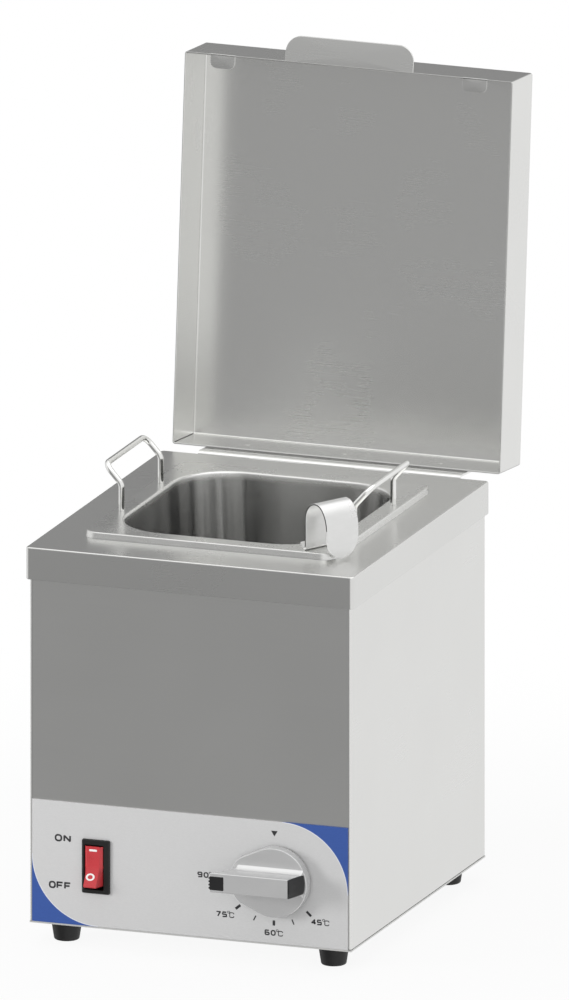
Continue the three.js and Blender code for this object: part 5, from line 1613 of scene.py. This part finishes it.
@dataclass(frozen=True)
class Heat:
    """A temperature of the scale: its number with the number's middle and pitch.

    The degree sign and the C stand at set distances from the number.
    """

    text: str
    x: float
    z: float
    pitch: float = 3.9
    sign_rise: float = 0.3
    sign_out: float = 5.5
    letter_out: float = 6.6
    letter_rise: float = -0.1

    def words(self) -> tuple[Word, Word, Word]:
        """Return the number, the degree sign and the C."""
        sign = Word("°", self.x + self.sign_out, self.z + self.sign_rise, 3.2, 3.4, 0.0, 0.35)
        letter = Word("C", self.x + self.letter_out, self.z + self.letter_rise, 2.6, 2.9, 0.0, 0.55)
        return Word(self.text, self.x, self.z, pitch=self.pitch), sign, letter


@dataclass
class Scale:
    """The dark print on the control plate: words, ticks and the index."""

    face: float = -118.85
    lift: float = 0.04
    step: float = 0.004
    centre: Pair = (54.6, 54.8)
    switch_words: tuple[Word, ...] = (
        Word("ON", -81.4, 67.5, 3.7, 3.5, 5.6, 1.1), Word("OFF", -83.2, 38.0, 3.4, 3.5, 4.9, 1.1))
    heats: tuple[Heat, ...] = (
        Heat("90", 8.4, 52.9, sign_rise=0.1), Heat("75", 20.2, 29.5), Heat("60", 51.4, 20.8),
        Heat("45", 81.1, 30.0, 3.55))
    ticks: tuple[tuple[float, float, float, float], ...] = (
        (76.2, 34.7, 4.0, 1.5), (53.8, 27.0, 3.2, 1.6), (30.8, 34.9, 4.0, 1.6),
        (41.5, 29.0, 3.4, 0.75), (66.0, 28.7, 3.4, 0.75))
    index: tuple[float, float, float, float] = (54.1, 82.7, 4.2, 3.4)

    def print_letter(self, surface: Surface, letter: Letter, word: Word, corner: Array) -> None:
        """Add a letter as broad strokes, each a hair higher than the one that it crosses.

        An open stroke is a flat section carried along its line. A loop is a flat rounded ring.

        Args:
            surface: The surface that takes the strokes.
            letter: The letter.
            word: The word that gives its size and stroke.
            corner: The place of its lower left corner.
        """
        size = np.array([word.width, word.height])
        half, lift = word.stroke / 2, self.lift
        for level, line in enumerate(letter.lines):
            path = np.array(line, float) * size + corner
            if len(path) > 2:
                path = rounded_path(path, letter.turn * word.width, 5)
            high = lift + self.step * (level + 1)
            section = np.array([[-half, -lift], [half, -lift], [half, high], [-half, high]])
            rings = sweep(np.column_stack([path, np.zeros(len(path))]), section, UP)
            surface.grid(to_front(rings, 0.0, self.face, 0.0))
        grow = np.array([-half, half, half, -half]) * 2
        for across, up, wide, tall in letter.loops:
            middle = np.append(corner + np.array([across, up]) * size, 0.0)
            wide, tall = wide * word.width, tall * word.height
            rings = box_rings(wide + grow, tall + grow, min(wide, tall) * 0.42 + grow / 2,
                              [-lift, -lift, lift, lift], 6)
            surface.grid(to_front(rings + middle, 0.0, self.face, 0.0), Ends.JOINED)

    def print_word(self, surface: Surface, word: Word) -> None:
        """Add the letters of a word from left to right."""
        start = word.x - word.pitch * (len(word.text) - 1) / 2
        for place, name in enumerate(word.text):
            middle = np.array([start + place * word.pitch, word.z])
            corner = middle - np.array([word.width, word.height]) / 2
            self.print_letter(surface, LETTERS[name], word, corner)

    def build(self, shop: Workshop) -> None:
        """Print the words, the ticks and the index as thin raised ink."""
        surface = Surface()
        # All numbers come first, then the degree signs and then the letters
        scale_words = sum(zip(*(heat.words() for heat in self.heats)), ())
        for word in self.switch_words + scale_words:
            self.print_word(surface, word)
        for x, z, length, width in self.ticks:
            bar = box_rings(width, length, 0.1, [-self.lift, self.lift], 2)
            angle = math.atan2(z - self.centre[1], x - self.centre[0]) + math.pi / 2
            plan = np.stack([*turned(bar[..., 0], bar[..., 1], angle), bar[..., 2]], -1)
            surface.grid(to_front(plan, x, self.face, z))
        x, z, width, height = self.index
        drop = np.array([[-width / 2, height / 2], [width / 2, height / 2], [0.0, -height / 2]])
        loops = np.stack([np.column_stack([drop, np.full(3, level)])
                          for level in (-self.lift, self.lift)])
        surface.grid(to_front(loops, x, self.face, z))
        shop.piece("plate_scale", surface, PRINT_INK, Body.CASING)


@dataclass
class Fittings:
    """The cable entry at the back and the parts inside, which mostly keep their solids."""

    x: float = -70.0
    z: float = 40.0
    back: float = 118.05
    nut_radius: float = 11.0
    nut_length: float = 5.0
    nut_bevel: Pair = (0.9, 0.6)
    dome_radius: float = 8.5
    dome_length: float = 14.0
    dome_round: float = 3.3
    dome_straight: float = 5.0
    ribs: int = 16
    rib_depth: float = 0.035
    thread_radius: float = 7.0
    thread_length: float = 11.0
    thread_bevel: Pair = (0.5, 0.6)
    bore: float = 3.6
    bore_lip: float = 1.6

    def build_gland(self, shop: Workshop) -> None:
        """Make the cable entry: a hexagon, a ribbed dome and a threaded neck round one bore.

        The loops of the nut are scaled to a hexagon, whose side is nearest at the middle of each
        sixth of a turn. The loops of the dome are drawn in at its ribs.
        """
        end = self.nut_length + self.dome_length
        nut_in, nut_up = self.nut_bevel
        thread_in, thread_up = self.thread_bevel
        dome = arc(self.bore + self.bore_lip, end - self.dome_round - 0.1, self.dome_round, 90, 0, 6)
        profile = np.concatenate([
            [[self.bore, -self.thread_length],
             [self.thread_radius - thread_in, -self.thread_length],
             [self.thread_radius, thread_up - self.thread_length], [self.thread_radius, 0.0],
             [self.nut_radius - nut_in, 0.0], [self.nut_radius, nut_up],
             [self.nut_radius, self.nut_length - nut_up],
             [self.nut_radius - nut_in, self.nut_length], [self.dome_radius, self.nut_length],
             [self.dome_radius, end - self.dome_straight]], dome[::-1], [[self.bore, end - 0.1]]])
        loops = lathe(profile, 96)
        angle = np.linspace(0.0, 2 * math.pi, 96, endpoint=False)
        sixth = math.pi / 3
        flat = math.cos(sixth / 2) / np.cos((angle + sixth / 2) % sixth - sixth / 2)
        nut_loops, dome_loops = slice(4, 8), slice(8, 12)
        loops[nut_loops, :, :2] *= flat[:, None]
        loops[dome_loops, :, :2] *= 1 - self.rib_depth * (np.cos(self.ribs * angle) > 0.2)[:, None]
        rings = np.stack([loops[..., 0] + self.x, self.back + loops[..., 2],
                          loops[..., 1] + self.z], -1)
        shop.piece("cable_entry", Surface().grid(rings, Ends.JOINED), SWITCH_BLACK, Body.CASING,
                   ("cable_gland",), crease=30)

    def build(self, shop: Workshop) -> None:
        """Make the cable entry and dress the parts inside."""
        self.build_gland(shop)
        shop.dress(SWITCH_BLACK, "gland_locknut", "terminal_block", "safety_cutout",
                   "thermostat_body")
        shop.dress(COVER_STEEL, "water_well")
        shop.dress(WOOL, "insulation_blanket")
        shop.dress(ZINC_STEEL, "heater_plate", "heater_clamp", "heater_stud_front",
                   "heater_stud_back", "thermostat_bulb", "bulb_clip", "thermostat_screw_left",
                   "thermostat_screw_right", "earth_stud", "base_screw_1", "base_screw_2",
                   "base_screw_3", "base_screw_4")


@dataclass(frozen=True)
class Lamp:
    """A soft square lamp, its place and size in metres, that no surface mirrors."""

    name: str
    place: Triple
    size: float
    power: float
    aim: Triple = (0.0, 0.0, 0.2)

    def hang(self) -> None:
        """Hang the lamp so that it points at the object."""
        data = bpy.data.lights.new(self.name, "AREA")
        data.size = self.size
        data.energy = self.power
        made = bpy.data.objects.new(self.name, data)
        made.location = self.place
        aim = Vector(self.aim) - Vector(self.place)
        made.rotation_euler = aim.to_track_quat("-Z", "Y").to_euler()
        made.visible_glossy = False
        bpy.context.scene.collection.objects.link(made)


@dataclass
class Studio:
    """Camera, floor, lamps and surroundings, with lengths in metres.

    The camera is aimed by the left front corner of the cover's top. Each range of the room is
    given in the part of a direction that lies along one axis.
    """

    azimuth: float = 20.0
    elevation: float = 15.0
    pixels_per_metre: float = 1661.5
    image_height: int = 1000
    corner: Triple = (-0.105, -0.14772, 0.247)
    right_of_corner: float = 0.1560
    above_corner: float = 0.0283
    distance: float = 3.0
    floor_radii: tuple[float, ...] = (0.2, 0.6, 1.2, 2.6)
    floor_grey: Colour = (0.86, 0.86, 0.86, 1.0)
    floor_fade: Pair = (0.22, 0.6)
    floor_least: float = 0.91
    front_light: Pair = (0.33, 0.66)
    front_range: Pair = (-0.3, 0.35)
    ahead_range: Pair = (-0.3, 0.3)
    behind: float = 0.33
    bright: float = 1.12
    right_range: Pair = (-0.22, 0.26)
    left_range: Pair = (-0.65, -0.92)
    overhead: float = 0.95
    overhead_range: Pair = (0.4, 0.9)
    ambient: float = 1.03
    right_shade: float = 0.4
    shade_range: Pair = (0.1, 0.8)
    lamps: tuple[Lamp, ...] = (
        Lamp("key", (-1.9, -1.5, 0.55), 0.7, 22.0), Lamp("fill", (1.2, -1.6, 0.3), 1.4, 3.0),
        Lamp("top", (0.0, 0.2, 2.2), 1.2, 3.0))

    def camera(self) -> None:
        """Set the camera at the photograph's viewing angle, without perspective."""
        turn, rise = math.radians(self.azimuth), math.radians(self.elevation)
        away = Vector((math.sin(turn) * math.cos(rise), -math.cos(turn) * math.cos(rise),
                       math.sin(rise)))
        across = Vector((math.cos(turn), math.sin(turn), 0.0))
        above = away.cross(across)
        target = Vector(self.corner) + across * self.right_of_corner + above * self.above_corner
        data = bpy.data.cameras.new("view")
        data.type = "ORTHO"
        data.ortho_scale = self.image_height / self.pixels_per_metre
        made = bpy.data.objects.new("view", data)
        made.location = target + away * self.distance
        made.rotation_euler = (-away).to_track_quat("-Z", "Y").to_euler()
        bpy.context.scene.collection.objects.link(made)
        bpy.context.scene.camera = made

    def floor(self) -> None:
        """Lay a round pale floor that keeps a soft shadow and fades into the white around it."""
        rings = lathe([[radius, 0.0] for radius in self.floor_radii], 96)
        surface = Surface().grid(rings, Ends.CENTRED)
        mesh = bpy.data.meshes.new("floor")
        mesh.from_pydata(np.concatenate(surface.points).tolist(), [], surface.faces)
        mesh.flip_normals()
        made = bpy.data.objects.new("floor", mesh)
        bpy.context.scene.collection.objects.link(made)
        made.visible_glossy = False
        material = bpy.data.materials.new("pale_floor")
        material.use_nodes = True
        graph = Graph(material.node_tree)
        reach = graph.add("ShaderNodeVectorMath", {0: graph.place()}, operation="LENGTH")
        cover = graph.ranged(reach.outputs["Value"], self.floor_fade, (self.floor_least, 1.0), True)
        seen = graph.add("ShaderNodeLightPath").outputs["Is Camera Ray"]
        paint = graph.add("ShaderNodeBsdfDiffuse", {"Color": self.floor_grey})
        glow = graph.add("ShaderNodeEmission", {"Strength": 1.0})
        mix = graph.add("ShaderNodeMixShader", {
            0: graph.math("MULTIPLY", cover, seen), 1: paint.outputs[0], 2: glow.outputs[0]})
        graph.add("ShaderNodeOutputMaterial", {0: mix.outputs[0]})
        mesh.materials.append(material)

    def surroundings(self) -> None:
        """Surround the object with white for the camera and a soft studio for reflections.

        Reflections see a room that is white at both sides and overhead and grey between them, a
        little lighter the higher it is in front. Diffuse light is even but for less from the right.
        """
        world = bpy.data.worlds.new("studio")
        world.use_nodes = True
        bpy.context.scene.world = world
        graph = Graph(world.node_tree)
        way = graph.add("ShaderNodeTexCoord").outputs["Generated"]
        across, deep, up = graph.axes(way)
        front = graph.ranged(up, self.front_range, self.front_light)
        ahead = graph.ranged(deep, self.ahead_range, (1.0, 0.0), True)
        middle = graph.between(ahead, self.behind, front)
        sides = graph.math("MAXIMUM", graph.ranged(across, self.right_range, smooth=True),
                           graph.ranged(across, self.left_range, smooth=True))
        level = graph.between(sides, middle, self.bright)
        above = graph.ranged(up, self.overhead_range, (0.0, self.overhead), True)
        room = graph.math("ADD", level, above)
        plain = graph.math("SUBTRACT", self.ambient, graph.ranged(
            across, self.shade_range, (0.0, self.right_shade), True))
        path = graph.add("ShaderNodeLightPath").outputs
        seen = graph.math("MAXIMUM", path["Is Camera Ray"], path["Is Transmission Ray"])
        inner = graph.between(path["Is Glossy Ray"], plain, room)
        glow = graph.add("ShaderNodeBackground", {"Strength": graph.between(seen, inner, 1.0)})
        graph.add("ShaderNodeOutputWorld", {0: glow.outputs[0]})

    def build(self) -> None:
        """Set up the whole studio."""
        bpy.context.scene.view_settings.view_transform = "Standard"
        self.camera()
        self.floor()
        self.surroundings()
        for lamp in self.lamps:
            lamp.hang()


def main() -> None:
    """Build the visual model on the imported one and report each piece."""
    logging.basicConfig(level=logging.INFO, format="%(name)s: %(message)s")
    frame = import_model()
    low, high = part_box("top_cover")
    shop = Workshop(frame["nodes"], (low.y + high.y) / 2 / MM)
    for part in (Cover(), Casing(), Feet(), Pan(), Ladle(), Lid(), Knob(), Switch(), Scale(),
                 Fittings()):
        part.build(shop)
    Studio().build()
    LOG.info("%d pieces made", shop.pieces)


if __name__ == "__main__":
    main()
